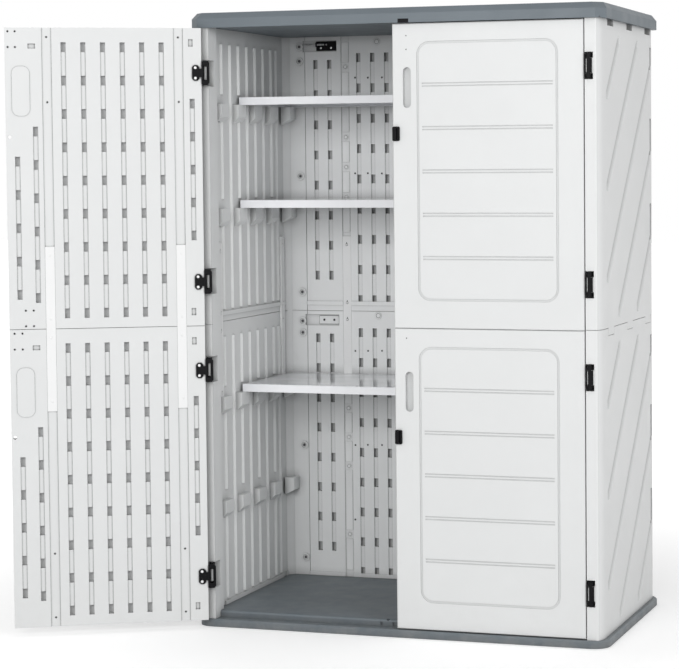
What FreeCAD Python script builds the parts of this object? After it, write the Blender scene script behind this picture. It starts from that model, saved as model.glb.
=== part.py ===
import FreeCAD, Part
import math
import os
from FreeCAD import Vector

# Garden storage cabinet, millimetres, +Z up. The origin lies under the middle of the base tray,
# the doors face -Y, and each wall and each door leaf is two equal mouldings, one on the other.

# Base tray and roof
WIDTH = 1250.0           # base tray and roof, side to side
DEPTH = 700.0            # base tray and roof, front to back
SIDE_RIM = 15.0          # tray and roof stand out past the side walls
FRONT_RIM = 10.0         # and past the doors
REAR_RIM = 5.0           # and past the back
RIM_H = 22.0             # tray rim, on which walls stand
FLOOR_H = 41.0           # raised floor inside the walls
TRAY_CORNER = 48.0       # corner radius of the tray in plan
TRAY_EDGE = 4.0          # bevel along the tray's upper edge
FLOOR_NOSE = 7.0         # rounding along the floor's front edge
ROOF_SKIRT = 4.0         # roof edge hangs below the wall tops
ROOF_EDGE = 27.0         # upright roof edge
ROOF_BEVEL_H = 17.0      # steep band above the upright edge
ROOF_BEVEL_IN = 12.0
ROOF_CROWN = 12.0        # low crown above the band
ROOF_CROWN_IN = 250.0
ROOF_CORNER = 27.0       # flat cut across each roof corner

# Walls
PANEL_H = 873.0          # one wall moulding
WALL_T = 25.0            # side wall between its inner ribs
REAR_T = 45.0            # back wall and rear corners
STILE_W = 44.0           # door stile, seen from the front
STILE_D = 60.0           # door stile, front to back
REAR_RETURN = 95.0       # side moulding's share of the back
CORNER_X = 14.0          # soft front corner, along the front
CORNER_Y = 40.0          # and along the side
CORNER_TURN = 60.0       # degrees turned by the tight part of that corner
REAR_BAND = 35.0         # rear border of the side wall, tapering inwards
REAR_TAPER = 4.0
REAR_CUT = 13.0          # flat cut across each rear corner
INNER_FACET = 20.0
RIB_FIRST = 135.0        # first inner rib, from the front face
RIB_PITCH = 64.5
RIB_COUNT = 7
RIB_W = 20.0
RIB_CREST = 9.0
RIB_PROUD = 6.0
RIB_TOP_MARGIN = 45.0
SHELF_LEVELS = (338.0, 650.0)   # ledges, above the foot of each moulding
SUPPORT_PROUD = 20.0     # each shelf lies on blocks, moulded over every other rib
SUPPORT_L = 60.0
SUPPORT_AHEAD = 48.0     # block's front end, ahead of its rib
SUPPORT_FACE = 38.0      # its upright face
SUPPORT_H = 56.0         # and its slope, which ends on the wall
CORNER_BLOCK_L = 48.0    # block in each rear corner
CORNER_BLOCK_PROUD = 38.0
RIB_STOP = 6.0           # a rib ends this far below the shelf level
REAR_RIB = 564.0         # last rib, from the front face
RIB_GAP_LOW = 6.0        # rib to the foot band or shelf below it
PLINTH_H = 12.0          # foot band of the walls, above the floor
PLINTH_PROUD = 5.0
BACK_PLINTH_PROUD = 2.5
TOOTH_FIRST = 123.0      # teeth that lock the mouldings, from the front face
TOOTH_PITCH = 238.0
TOOTH_COUNT = 3
TOOTH_L = 70.0
TOOTH_H = 20.0
TOOTH_T = 20.0
TOOTH_CLEAR = 1.2
SEAM_GAP = 1.5           # open line between two mouldings, at their skins
SEAM_DEEP = 8.0
GROOVE_FRONT = 85.0      # slanted grooves outside, from the front face
GROOVE_BACK = 640.0
GROOVE_LOW = 37.0        # above the foot of a moulding
GROOVE_HIGH = 58.0       # below its top
GROOVE_SLOPE = 47.5      # degrees, rising to the rear
GROOVE_PITCH = 258.0     # measured up the wall
GROOVE_START = 142.0     # height of one groove at its front end
GROOVE_W = 36.0
GROOVE_FLOOR_W = 10.0    # its flanks slope to a narrow floor
GROOVE_DEEP = 7.0
GROOVE_TAIL = 110.0      # a groove that reaches the rear border turns straight up
GROOVE_TAIL_W = 20.0

# Door leaves
DOOR_T = 32.0
DOOR_GAP = 3.0           # leaf to stile, and leaf to leaf
DOOR_FOOT = 2.0          # door above the rim
DOOR_HEAD = 2.0          # door below the roof edge
DOOR_ROUND = 4.0         # rounding round each outer face
DOOR_STOP = 2.0          # closed door to the floor's front edge
OUTLINE_SIDE = 73.0      # moulded outline, from the leaf's edges
OUTLINE_TOP = 52.0
OUTLINE_FOOT = 79.0
OUTLINE_R = 38.0
OUTLINE_W = 7.0
OUTLINE_DEEP = 3.0
BOARD_COUNT = 6
BOARD_LINE = 3.5         # each line between boards is two grooves
BOARD_LINE_STEP = 8.0
BOARD_LINE_END = 16.0    # clear of the outline
BOARD_LINE_DEEP = 2.5
HANDLE_IN = 44.0         # handle recess, from the free edge
HANDLE_DOWN = 182.0      # below the top of each half
HANDLE_W = 24.0
HANDLE_H = 115.0
HANDLE_DEEP = 14.0
HANDLE_PAD_W = 50.0
HANDLE_PAD_H = 142.0
HANDLE_PAD_PROUD = 2.0

# Stiffening columns inside doors and back: a shallow channel with deep dimples
COLUMN_W = 14.5
COLUMN_DEEP = 3.0
DIMPLE_H = 28.0
DIMPLE_DEEP = 18.0
DIMPLE_PITCH = 96.0
COLUMN_PITCH = 56.0      # across a door
COLUMN_FIRST = 166.0     # from the free edge
COLUMN_COUNT = 6
COLUMN_DOWN = 56.0       # first dimple below the top of a door half
COLUMN_DIMPLES = 9
BACK_COLUMN_PITCH = 47.0
BACK_COLUMN_OUT = 6.0    # outer columns, shifted away from the strap
BACK_COLUMN_IN = 2.0     # inner columns, shifted away from the middle
BACK_COLUMNS_OUTER = 2
BACK_COLUMNS_INNER = 7
BACK_COLUMN_DOWN = 68.0  # first dimple below the top of a moulding
BACK_OUTER_DOWN = 87.0   # the same, for the columns beside the fastener
SIDE_COLUMNS = ((32.0, 384.0, 5), (84.0, 298.0, 6))   # from the free edge, from the top, dimples
HINGE_COLUMN = (28.0, 219.0, 5)                       # from the hinge edge, from the top, dimples
POCKET_DEEP = 6.0        # small pockets of the inner face
POCKET_W = 13.0
POCKET_H = 21.0
POCKET_IN = 31.0         # from the hinge edge
POCKET_END = 43.0        # from both ends
HEAD_POCKET_W = 21.0     # the one by the bolt
HEAD_POCKET_H = 14.0
HEAD_POCKET_IN = 76.0
HEAD_POCKET_DOWN = 53.0

# Joining straps over the seam between lower and upper mouldings
STRAP_W = 27.0
STRAP_T = 3.0
STRAP_L = 478.0
STRAP_CLEAR = 0.5
DOOR_STRAP_FREE = 118.5  # strap centre line, from the free edge
DOOR_STRAP_HINGE = 66.5  # and the other's, from the hinge edge
WALL_STRAP_FRONT = 97.0  # from the front face
WALL_STRAP_REAR = 592.0
BACK_STRAP_IN = 137.0    # from the back's joint with the side moulding

# Hinges
HINGE_INSET = 130.0      # hinge centre from the ends of each door half
HINGE_OUT = 14.0         # pin beyond the leaf's edge
HINGE_BACK = 2.0         # pin behind the outer face
KNUCKLE_R = 8.5
PIN_R = 3.0
PIN_CLEAR = 0.05
PIVOT_H = 42.0           # centre knuckle, part of the stile
HINGE_H = 70.0           # whole hinge
HINGE_GAP = 0.4          # between knuckles
POCKET_GAP = 3.0         # hinge to pocket
POCKET_SIDE = 1.5        # more room beside the knuckle
WEB_IN = 2.0             # web of the pivot, from the pin's centre outwards
WEB_T = 8.0
BRACKET_T = 3.5
BRACKET_RING = 23.0      # window frame past the leaf's edge
BRACKET_BAR = 5.0
BRACKET_LEAF = 27.0      # plate on the leaf
BRACKET_LEAF_H = 45.0
BRACKET_WAIST = 6.0
BRACKET_WAIST_H = 24.0
CAP_PROUD = 1.5
CAP_BACK = 1.0           # and ends in front of it
KNUCKLE_SIDES = 12
FRAME_CORNER = 6.0       # cut across the corners of plate and frame
LEFT_OPEN = 152.0        # degrees, the left leaf as shown

# Latches, bolts and shelves
LATCH_IN = 11.0          # pivot, from the free edge
LATCH_DOWN = 313.0       # below the top of each half
LATCH_W = 21.0
LATCH_H = 41.0
LATCH_PLATE = 5.0
LATCH_RIB_W = 7.0
LATCH_RIB = 8.0
LATCH_RIB_END = 3.0      # grip short of the plate's ends
LATCH_SHAFT_R = 5.0
LATCH_CLEAR = 0.4
RETAINER_R = 9.0
RETAINER_T = 3.0
BOLT_IN = 37.0           # bolt, from the free edge
BOLT_R = 5.0
BOLT_OFF = 9.0           # bolt centre behind the inner face
BOLT_L = 92.0
BOLT_THROW = 20.0
BOLT_HEAD_GAP = 1.5      # bolt end to what it enters
BOLT_HOLE = 1.0          # room round the bolt in tray and roof
HOUSING_W = 44.0
HOUSING_H = 56.0
HOUSING_D = 16.0
HOUSING_FLANGE = 3.0
HOUSING_WALL = 4.0
HOUSING_OFF = 12.0       # housing to bolt end
HOUSING_SLOT = 30.0
KNOB_GAP = 0.5
KNOB_R = 3.5
KNOB_L = 16.0
KEEPER_W = 32.0
KEEPER_H = 11.0
KEEPER_T = 1.5
NOTCH_W = 8.0            # notches in the floor's front edge, beside the bolt
NOTCH_DEEP = 4.0
NOTCH_STEP = 19.0
SHELF_T = 23.5
SHELF_SHEET = 1.5
SHELF_LIP = 14.0
SHELF_FRONT = 250.0      # front edge, from the front face
SHELF_SIDE_GAP = 2.0     # shelf to ribs
SHELF_BACK_GAP = 3.0
SHELF_BEVEL = 1.0

# Corner fastener at the head of the back wall
FASTENER_W = 67.0
FASTENER_H = 30.0
FASTENER_T = 4.0
FASTENER_IN = 106.0      # plate's inner end, from the same joint
FASTENER_DOWN = 14.0     # below the top of a moulding
FASTENER_RECESS = 8.0
FASTENER_REACH = 45.0    # recess past the plate
FASTENER_ROOM = 3.0      # round the plate
FASTENER_PIN_R = 3.0
FASTENER_PIN_L = 77.0
FASTENER_PIN_IN = 30.0   # pin, from the plate's inner end
FASTENER_AXIS = 10.5     # pin below the plate's top
EAR_H = 14.0
EAR_PROUD = 4.0

# Planes worked out from the sizes above
X_OUT = WIDTH / 2 - SIDE_RIM
X_IN = X_OUT - WALL_T
X_STILE = X_OUT - STILE_W
X_RETURN = X_OUT - REAR_RETURN
BACK_STRAP_X = X_RETURN - BACK_STRAP_IN
FASTENER_X = X_RETURN - FASTENER_IN
Y_FRONT = -DEPTH / 2 + FRONT_RIM
Y_REAR = DEPTH / 2 - REAR_RIM
Y_BACK = Y_REAR - REAR_T
Y_DOOR_IN = Y_FRONT + DOOR_T
Y_STILE = Y_FRONT + STILE_D
Z_SEAM = RIM_H + PANEL_H
Z_TOP = RIM_H + 2 * PANEL_H
Z_SKIRT = Z_TOP - ROOF_SKIRT
DOOR_Z0 = RIM_H + DOOR_FOOT
DOOR_H = (Z_SKIRT - DOOR_HEAD - DOOR_Z0) / 2
DOOR_X0 = DOOR_GAP / 2
DOOR_X1 = X_STILE - DOOR_GAP
PIN_X = DOOR_X1 + HINGE_OUT
PIN_Y = Y_FRONT + HINGE_BACK
X_POCKET = PIN_X + KNUCKLE_R + POCKET_GAP + POCKET_SIDE
Y_POCKET = Y_DOOR_IN + BRACKET_T + POCKET_GAP
FIT = 0.3                # between pieces that only rest side by side


def box(x0, y0, z0, x1, y1, z1):
    """Block between two corners given in any order."""
    low = Vector(min(x0, x1), min(y0, y1), min(z0, z1))
    return Part.makeBox(abs(x1 - x0), abs(y1 - y0), abs(z1 - z0), low)


def rod(x, y, z, r, length, direction=Vector(0, 0, 1)):
    """Round bar from its first end."""
    return Part.makeCylinder(r, length, Vector(x, y, z), direction)


def prism(points, z0, z1):
    """Upright block on a plan outline of (x, y) points."""
    corners = [Vector(x, y, z0) for x, y in points]
    wire = Part.makePolygon(corners + corners[:1])
    return Part.Face(wire).extrude(Vector(0, 0, z1 - z0))


def outline_wire(corners):
    return Part.makePolygon(corners + corners[:1])


def frustum(low, high):
    """Solid between two like outlines whose edges run parallel."""
    faces = [Part.Face(outline_wire(low)), Part.Face(outline_wire(high))]
    count = len(low)
    for k in range(count):
        after = (k + 1) % count
        faces.append(Part.Face(outline_wire([low[k], low[after], high[after], high[k]])))
    shell = Part.makeShell(faces)
    shell.sewShape()
    solid = Part.makeSolid(shell)
    return solid.reversed() if solid.Volume < 0 else solid


def rounded_face(x0, z0, x1, z1, r, y):
    """Upright rectangle in the plane y with rounded corners."""
    bend = r * (1 - math.sqrt(0.5))
    spots = []
    for cx, sx, cz, sz in ((x0, 1, z0, 1), (x1, -1, z0, 1), (x1, -1, z1, -1), (x0, 1, z1, -1)):
        along = Vector(cx + sx * r, y, cz)
        middle = Vector(cx + sx * bend, y, cz + sz * bend)
        up = Vector(cx, y, cz + sz * r)
        spots.append((up, middle, along) if sx == sz else (along, middle, up))
    edges = []
    for k in range(4):
        start, middle, end = spots[k]
        edges.append(Part.Arc(start, middle, end).toShape())
        edges.append(Part.LineSegment(end, spots[(k + 1) % 4][0]).toShape())
    return Part.Face(Part.Wire(edges))


def rounded_plate(x0, z0, x1, z1, r, y, thick):
    """Plate with rounded corners, thickness along +Y."""
    return rounded_face(x0, z0, x1, z1, r, y).extrude(Vector(0, thick, 0))


def join(shapes):
    """One solid from pieces that share faces or overlap."""
    first = shapes[0]
    if len(shapes) > 1:
        first = first.fuse(shapes[1:])
    return first.removeSplitter()


def trimmed(shape, cuts):
    """Shape less its cuts, with flat faces that meet made one."""
    return shape.cut(cuts).removeSplitter()


def mirrored(shape):
    """The same piece on the other side of the cabinet."""
    return shape.mirror(Vector(0, 0, 0), Vector(1, 0, 0))


def open_left(shape):
    """Piece of a closed right leaf, carried to the open left leaf."""
    other = mirrored(shape)
    other.rotate(Vector(-PIN_X, PIN_Y, 0), Vector(0, 0, 1), -LEFT_OPEN)
    return other


def save(name, shapes):
    """Write one node from one solid or a list of separate solids."""
    solids = []
    for shape in shapes if isinstance(shapes, list) else [shapes]:
        solids.extend(shape.Solids)
    body = solids[0] if len(solids) == 1 else Part.makeCompound(solids)
    body.exportStep("parts/" + name + ".step")
    volume = sum(s.Volume for s in solids) / 1e6
    print(f"{name}: {len(solids)} solids, {volume:.2f} litres, valid {body.isValid()}")


def tooth_centres():
    return [Y_FRONT + TOOTH_FIRST + TOOTH_PITCH * k for k in range(TOOTH_COUNT)]


def teeth(z, clear):
    """The three locking teeth of a right side moulding whose foot is at z, or their pockets."""
    made = []
    for y in tooth_centres():
        half = TOOTH_L / 2 + clear
        made.append(box(X_OUT - TOOTH_T - clear, y - half, z - TOOTH_H - clear, X_OUT, y + half, z))
    return made


# Base tray

def tray_outline(z):
    """Plan of the tray with its corners rounded."""
    x = WIDTH / 2
    y = DEPTH / 2
    corner = TRAY_CORNER
    bend = corner * (1 - math.sqrt(0.5))
    edges = []
    turns = ((1, -1), (1, 1), (-1, 1), (-1, -1))
    for k, (sx, sy) in enumerate(turns):
        low = Vector(sx * (x - corner), sy * y, z)
        high = Vector(sx * x, sy * (y - corner), z)
        start, end = (low, high) if sx * sy < 0 else (high, low)
        middle = Vector(sx * (x - bend), sy * (y - bend), z)
        edges.append(Part.Arc(start, middle, end).toShape())
        nx, ny = turns[(k + 1) % 4]
        next_low = Vector(nx * (x - corner), ny * y, z)
        next_high = Vector(nx * x, ny * (y - corner), z)
        edges.append(Part.LineSegment(end, next_low if nx * ny < 0 else next_high).toShape())
    return Part.Wire(edges)


def floor_block():
    """Raised floor between the walls, with a rounded nose behind the doors."""
    front = Y_DOOR_IN + DOOR_STOP
    side = X_STILE - FIT
    wide = X_IN - FIT
    back = Y_BACK - FIT
    neck = Y_STILE + FIT
    right = [(side, front), (side, neck), (wide, neck), (wide, back - INNER_FACET), (wide - INNER_FACET, back)]
    left = [(-x, y) for x, y in reversed(right)]
    block = prism(right + left, 0, FLOOR_H)
    nose = [e for e in block.Edges
            if abs(e.BoundBox.YMin - front) < 0.01 and abs(e.BoundBox.YMax - front) < 0.01
            and e.BoundBox.ZMin > FLOOR_H - 0.01]
    return block.makeFillet(FLOOR_NOSE, nose)


def base_tray():
    rim = Part.Face(tray_outline(0)).extrude(Vector(0, 0, RIM_H))
    rim = rim.makeChamfer(TRAY_EDGE, [e for e in rim.Edges if e.BoundBox.ZMin > RIM_H - 0.01])
    tray = join([rim, floor_block()])
    pockets = teeth(RIM_H, TOOTH_CLEAR)
    cuts = pockets + [mirrored(p) for p in pockets]
    front = Y_DOOR_IN + DOOR_STOP
    hole = BOLT_R + BOLT_HOLE
    for side in (-1, 1):
        x = side * (DOOR_X0 + BOLT_IN)
        cuts.append(rod(x, Y_DOOR_IN + BOLT_OFF, FLOOR_H - BOLT_THROW - BOLT_HOLE, hole, BOLT_THROW + 5))
        for edge in (-1, 1):
            middle = x + edge * NOTCH_STEP
            half = NOTCH_W / 2
            cuts.append(box(middle - half, front - 1, RIM_H + 1, middle + half, front + NOTCH_DEEP,
                            FLOOR_H - FLOOR_NOSE))
    return trimmed(tray, cuts)


# Side walls

def arc_edge(cx, cy, r, first, last):
    """Arc in plan; its angles count from straight ahead (-Y) towards +X."""
    spots = []
    for turn in (first, (first + last) / 2, last):
        spots.append(Vector(cx + r * math.sin(turn), cy - r * math.cos(turn), 0))
    return Part.Arc(*spots).toShape()


def front_corner():
    """Soft front corner as a tight arc that runs into a wide one."""
    turn = math.radians(CORNER_TURN)
    s = math.sin(turn)
    c = math.cos(turn)
    share = (1 - s) / c
    tight = (CORNER_X - CORNER_Y * share) / (s - (1 - c) * share)
    wide = (CORNER_Y - tight * (1 - c)) / c
    return [arc_edge(X_OUT - CORNER_X, Y_FRONT + tight, tight, 0, turn),
            arc_edge(X_OUT - wide, Y_FRONT + CORNER_Y, wide, turn, math.pi / 2)]


def side_plan():
    """Plan of the right side moulding: stile, wall and rear corner in one piece."""
    x_rear = X_OUT - REAR_TAPER
    points = [(X_OUT, Y_FRONT + CORNER_Y), (X_OUT, Y_REAR - REAR_BAND), (x_rear, Y_REAR - REAR_CUT),
              (x_rear - REAR_CUT, Y_REAR), (X_RETURN, Y_REAR), (X_RETURN, Y_BACK),
              (X_IN - INNER_FACET, Y_BACK), (X_IN, Y_BACK - INNER_FACET), (X_IN, Y_STILE),
              (X_STILE, Y_STILE), (X_STILE, Y_FRONT), (X_OUT - CORNER_X, Y_FRONT)]
    edges = front_corner()
    for (x0, y0), (x1, y1) in zip(points, points[1:]):
        edges.append(Part.LineSegment(Vector(x0, y0, 0), Vector(x1, y1, 0)).toShape())
    return Part.Face(Part.Wire(edges))


def groove_outline(half, length, depth):
    """Long hexagon with pointed ends, at one depth of a slanted groove."""
    points = [(0, -half), (half, 0), (half, length), (0, length + half), (-half, length), (-half, 0)]
    return [Vector(px, py, depth) for px, py in points]


def slanted_grooves(z):
    """Grooves with pointed ends that rise to the rear across the outer face."""
    rise = math.tan(math.radians(GROOVE_SLOPE))
    low = GROOVE_LOW
    high = PANEL_H - GROOVE_HIGH
    run = GROOVE_BACK - GROOVE_FRONT
    reach = int((run * rise + high) / GROOVE_PITCH) + 1
    made = []
    for k in range(-reach, reach + 1):
        at_front = GROOVE_START + GROOVE_PITCH * k
        first = max(0.0, (low - at_front) / rise)
        last = min(run, (high - at_front) / rise)
        if last - first < GROOVE_PITCH / 3:
            continue
        length = (last - first) * math.hypot(1, rise)
        flare = (GROOVE_W - GROOVE_FLOOR_W) / 2 / GROOVE_DEEP
        groove = frustum(groove_outline(GROOVE_FLOOR_W / 2, length, 0),
                         groove_outline(GROOVE_W / 2 + flare, length, GROOVE_DEEP + 1))
        groove.rotate(Vector(0, 0, 0), Vector(0, 1, 0), 90)
        groove.rotate(Vector(0, 0, 0), Vector(1, 0, 0), GROOVE_SLOPE)
        y = Y_FRONT + GROOVE_FRONT + first
        groove.translate(Vector(X_OUT - GROOVE_DEEP, y, z + at_front + first * rise))
        made.append(groove)
        if last == run:
            tail_z = z + at_front + last * rise
            tail_y = Y_FRONT + GROOVE_BACK - GROOVE_TAIL_W / 2
            tail_end = min(tail_z + GROOVE_TAIL, z + high)
            made.append(box(X_OUT - GROOVE_DEEP, tail_y, tail_z, X_OUT + 1, tail_y + GROOVE_TAIL_W, tail_end))
    return made


def rib(y, z0, z1):
    """Upright rib of the side wall's inner face, narrower at its crest."""
    base = RIB_W / 2
    crest = RIB_CREST / 2
    points = [(X_IN + 1, y - base), (X_IN, y - base), (X_IN - RIB_PROUD, y - crest),
              (X_IN - RIB_PROUD, y + crest), (X_IN, y + base), (X_IN + 1, y + base)]
    return prism(points, z0, z1)


def support_block(y, length, proud, z):
    """Block below a shelf level, with an upright face and a slope under it."""
    face = z - SUPPORT_FACE
    foot = z - SUPPORT_H
    points = [(X_IN + 1, z), (X_IN - proud, z), (X_IN - proud, face), (X_IN, foot), (X_IN + 1, foot)]
    plan = Part.Face(outline_wire([Vector(px, y, pz) for px, pz in points]))
    return plan.extrude(Vector(0, length, 0))


def side_lining(z):
    """Ribs, support blocks and foot band of one right side moulding."""
    made = []
    plinth_z = z + FLOOR_H - RIM_H + FIT
    made.append(box(X_IN + 1, Y_STILE - 1, plinth_z, X_IN - PLINTH_PROUD, Y_BACK - INNER_FACET,
                    plinth_z + PLINTH_H))
    foot = plinth_z + PLINTH_H + RIB_GAP_LOW
    head = z + PANEL_H - RIB_TOP_MARGIN
    floors = [foot] + [z + level + SHELF_T + RIB_GAP_LOW for level in SHELF_LEVELS]
    roofs = [z + level - RIB_STOP for level in SHELF_LEVELS] + [head]
    for k in range(RIB_COUNT):
        y = Y_FRONT + RIB_FIRST + RIB_PITCH * k
        if k % 2:
            made.append(rib(y, foot, head))
            continue
        for low, high in zip(floors, roofs):
            made.append(rib(y, low, high))
        for level in SHELF_LEVELS:
            made.append(support_block(y - SUPPORT_AHEAD, SUPPORT_L, SUPPORT_PROUD, z + level))
    made.append(rib(Y_FRONT + REAR_RIB, foot, head))
    for level in SHELF_LEVELS:
        made.append(support_block(Y_BACK - CORNER_BLOCK_L, CORNER_BLOCK_L + 1, CORNER_BLOCK_PROUD, z + level))
    return made


def strap_slot(y, z):
    """Flat channel of a side wall strap, over the full height of one moulding."""
    half = STRAP_W / 2 + STRAP_CLEAR
    return box(X_IN - PLINTH_PROUD - 1, y - half, z - 1, X_IN, y + half, z + PANEL_H + 1)


def hinge_heights():
    """Hinge centres, lowest first, in pairs for the two halves of a leaf."""
    pairs = []
    for half in range(2):
        foot = DOOR_Z0 + DOOR_H * half
        pairs.append((foot + HINGE_INSET, foot + DOOR_H - HINGE_INSET))
    return pairs


def hinge_pivot(z):
    """Centre knuckle of the stile with the web that carries it."""
    low = z - PIVOT_H / 2
    barrel = rod(PIN_X, PIN_Y, low, KNUCKLE_R, PIVOT_H)
    web = box(PIN_X + WEB_IN, PIN_Y - 1, low, X_POCKET + 1, PIN_Y - 1 + WEB_T, low + PIVOT_H)
    bore = rod(PIN_X, PIN_Y, low - 1, PIN_R + PIN_CLEAR, PIVOT_H + 2)
    return join([barrel, web]).cut(bore)


def side_seam(z):
    """Open line round the foot of a right side moulding, broken at its teeth."""
    x = X_OUT - SEAM_DEEP
    y = Y_STILE - SEAM_DEEP
    side = box(x, Y_FRONT - 1, z, X_OUT + 1, Y_REAR + 1, z + SEAM_GAP)
    front = box(X_STILE - 1, Y_FRONT - 1, z, X_OUT + 1, Y_FRONT + SEAM_DEEP, z + SEAM_GAP)
    inner = box(X_IN - RIB_PROUD - 1, y, z, X_IN + SEAM_DEEP, Y_BACK + 1, z + SEAM_GAP)
    rear = box(X_RETURN - 1, Y_REAR - SEAM_DEEP, z, X_OUT + 1, Y_REAR + 1, z + SEAM_GAP)
    inner_rear = box(X_RETURN - 1, Y_BACK - 1, z, X_IN, Y_BACK + SEAM_DEEP, z + SEAM_GAP)
    kept = [box(x - 1, yc - TOOTH_L / 2, z - 1, X_OUT + 2, yc + TOOTH_L / 2, z + SEAM_GAP + 1)
            for yc in tooth_centres()]
    return join([side, front, inner, rear, inner_rear]).cut(kept)


def side_panel(section):
    """Right side moulding, lower (0) or upper (1)."""
    z = RIM_H + PANEL_H * section
    plan = side_plan()
    plan.translate(Vector(0, 0, z))
    shell = plan.extrude(Vector(0, 0, PANEL_H))
    panel = join([shell] + side_lining(z) + teeth(z, 0))
    half = HINGE_H / 2 + POCKET_GAP
    cuts = teeth(z + PANEL_H, TOOTH_CLEAR) + slanted_grooves(z)
    cuts += [strap_slot(Y_FRONT + y, z) for y in (WALL_STRAP_FRONT, WALL_STRAP_REAR)]
    for height in hinge_heights()[section]:
        cuts.append(box(X_STILE - 1, Y_FRONT - 1, height - half, X_POCKET, Y_POCKET, height + half))
    cuts.append(fastener_recess(section))
    if section == 1:
        cuts.append(side_seam(z))
    panel = trimmed(panel, cuts)
    return join([panel] + [hinge_pivot(height) for height in hinge_heights()[section]])


def wall_straps():
    low = Z_SEAM - STRAP_L / 2
    made = []
    for y in (WALL_STRAP_FRONT, WALL_STRAP_REAR):
        middle = Y_FRONT + y
        made.append(box(X_IN, middle - STRAP_W / 2, low, X_IN - STRAP_T, middle + STRAP_W / 2, low + STRAP_L))
    return made


# Back wall

def column(x, top, count, y_face, into):
    """Channel and dimples of one column; into is +1 or -1 along Y, away from the face."""
    half = COLUMN_W / 2
    low = top - DIMPLE_PITCH * (count - 1) - DIMPLE_H / 2
    made = [box(x - half, y_face - into, low, x + half, y_face + into * COLUMN_DEEP, top + DIMPLE_H / 2)]
    for k in range(count):
        z = top - DIMPLE_PITCH * k
        made.append(box(x - half, y_face - into, z - DIMPLE_H / 2, x + half, y_face + into * DIMPLE_DEEP,
                        z + DIMPLE_H / 2))
    return made


def fastener_recess(section):
    """Recess for the corner fastener, cut across back and side mouldings alike."""
    top = RIM_H + PANEL_H * (section + 1) - FASTENER_DOWN
    room = FASTENER_ROOM
    outer = FASTENER_X + FASTENER_W + FASTENER_REACH
    return box(FASTENER_X - room, Y_BACK - 1, top - FASTENER_H - room,
               outer, Y_BACK + FASTENER_RECESS, top + room)


def back_columns():
    """Column centre lines on the right half of the back."""
    outer = [BACK_STRAP_X + BACK_COLUMN_PITCH * (k + 1) + BACK_COLUMN_OUT for k in range(BACK_COLUMNS_OUTER)]
    inner = [BACK_STRAP_X - BACK_COLUMN_PITCH * (k + 1) + BACK_COLUMN_IN for k in range(BACK_COLUMNS_INNER)]
    return outer + inner


def back_panel(section):
    """Back moulding, lower (0) or upper (1)."""
    z = RIM_H + PANEL_H * section
    panel = box(-X_RETURN, Y_BACK, z, X_RETURN, Y_REAR, z + PANEL_H)
    plinth_z = z + FLOOR_H - RIM_H + FIT
    plinth = box(-X_RETURN, Y_BACK + 1, plinth_z, X_RETURN, Y_BACK - BACK_PLINTH_PROUD, plinth_z + PLINTH_H)
    panel = join([panel, plinth])
    half = STRAP_W / 2 + STRAP_CLEAR
    cuts = []
    for side in (-1, 1):
        edge = side * X_RETURN
        gap = edge - side * SEAM_GAP
        top = z + PANEL_H + 1
        cuts.append(box(gap, Y_BACK - 5, z - 1, edge + side, Y_BACK + SEAM_DEEP, top))
        cuts.append(box(gap, Y_REAR - SEAM_DEEP, z - 1, edge + side, Y_REAR + 1, top))
    if section == 1:
        cuts.append(box(-X_RETURN - 1, Y_BACK - 5, z, X_RETURN + 1, Y_BACK + SEAM_DEEP, z + SEAM_GAP))
        cuts.append(box(-X_RETURN - 1, Y_REAR - SEAM_DEEP, z, X_RETURN + 1, Y_REAR + 1, z + SEAM_GAP))
    for side in (-1, 1):
        x = side * BACK_STRAP_X
        cuts.append(box(x - half, Y_BACK - PLINTH_PROUD, z - 1, x + half, Y_BACK + STRAP_T, z + PANEL_H + 1))
        for middle in back_columns():
            beside = middle > BACK_STRAP_X
            down = BACK_OUTER_DOWN if beside else BACK_COLUMN_DOWN
            count = COLUMN_DIMPLES - 1 if beside else COLUMN_DIMPLES
            cuts += column(side * middle, z + PANEL_H - down, count, Y_BACK, 1)
    recess = fastener_recess(section)
    cuts += [recess, mirrored(recess)]
    margin = OUTLINE_SIDE
    ring = rounded_plate(-X_RETURN + margin, z + OUTLINE_FOOT, X_RETURN - margin, z + PANEL_H - OUTLINE_TOP,
                         OUTLINE_R, Y_REAR - OUTLINE_DEEP, OUTLINE_DEEP + 1)
    inner = rounded_plate(-X_RETURN + margin + OUTLINE_W, z + OUTLINE_FOOT + OUTLINE_W,
                          X_RETURN - margin - OUTLINE_W, z + PANEL_H - OUTLINE_TOP - OUTLINE_W,
                          OUTLINE_R - OUTLINE_W, Y_REAR - OUTLINE_DEEP - 1, OUTLINE_DEEP + 3)
    cuts.append(ring.cut(inner))
    return trimmed(panel, cuts)


def back_straps():
    low = Z_SEAM - STRAP_L / 2
    made = []
    for x in (-BACK_STRAP_X, BACK_STRAP_X):
        made.append(box(x - STRAP_W / 2, Y_BACK, low, x + STRAP_W / 2, Y_BACK + STRAP_T, low + STRAP_L))
    return made


def corner_fastener():
    """Folded plate in the recess at the head of the back wall, right side."""
    top = Z_TOP - FASTENER_DOWN
    y = Y_BACK + FASTENER_RECESS
    plate = box(FASTENER_X, y - FASTENER_T, top - FASTENER_H, FASTENER_X + FASTENER_W, y, top)
    ear_z = top - FASTENER_AXIS
    ears = []
    for x in (FASTENER_X + FASTENER_W / 2, FASTENER_X + FASTENER_W - FASTENER_T):
        ears.append(box(x, Y_BACK - EAR_PROUD, ear_z - EAR_H / 2, x + FASTENER_T, y, ear_z + EAR_H / 2))
    bore = rod(FASTENER_X, Y_BACK + 1, ear_z, FASTENER_PIN_R, FASTENER_W + 5, Vector(1, 0, 0))
    return join([plate] + ears).cut(bore)


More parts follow.
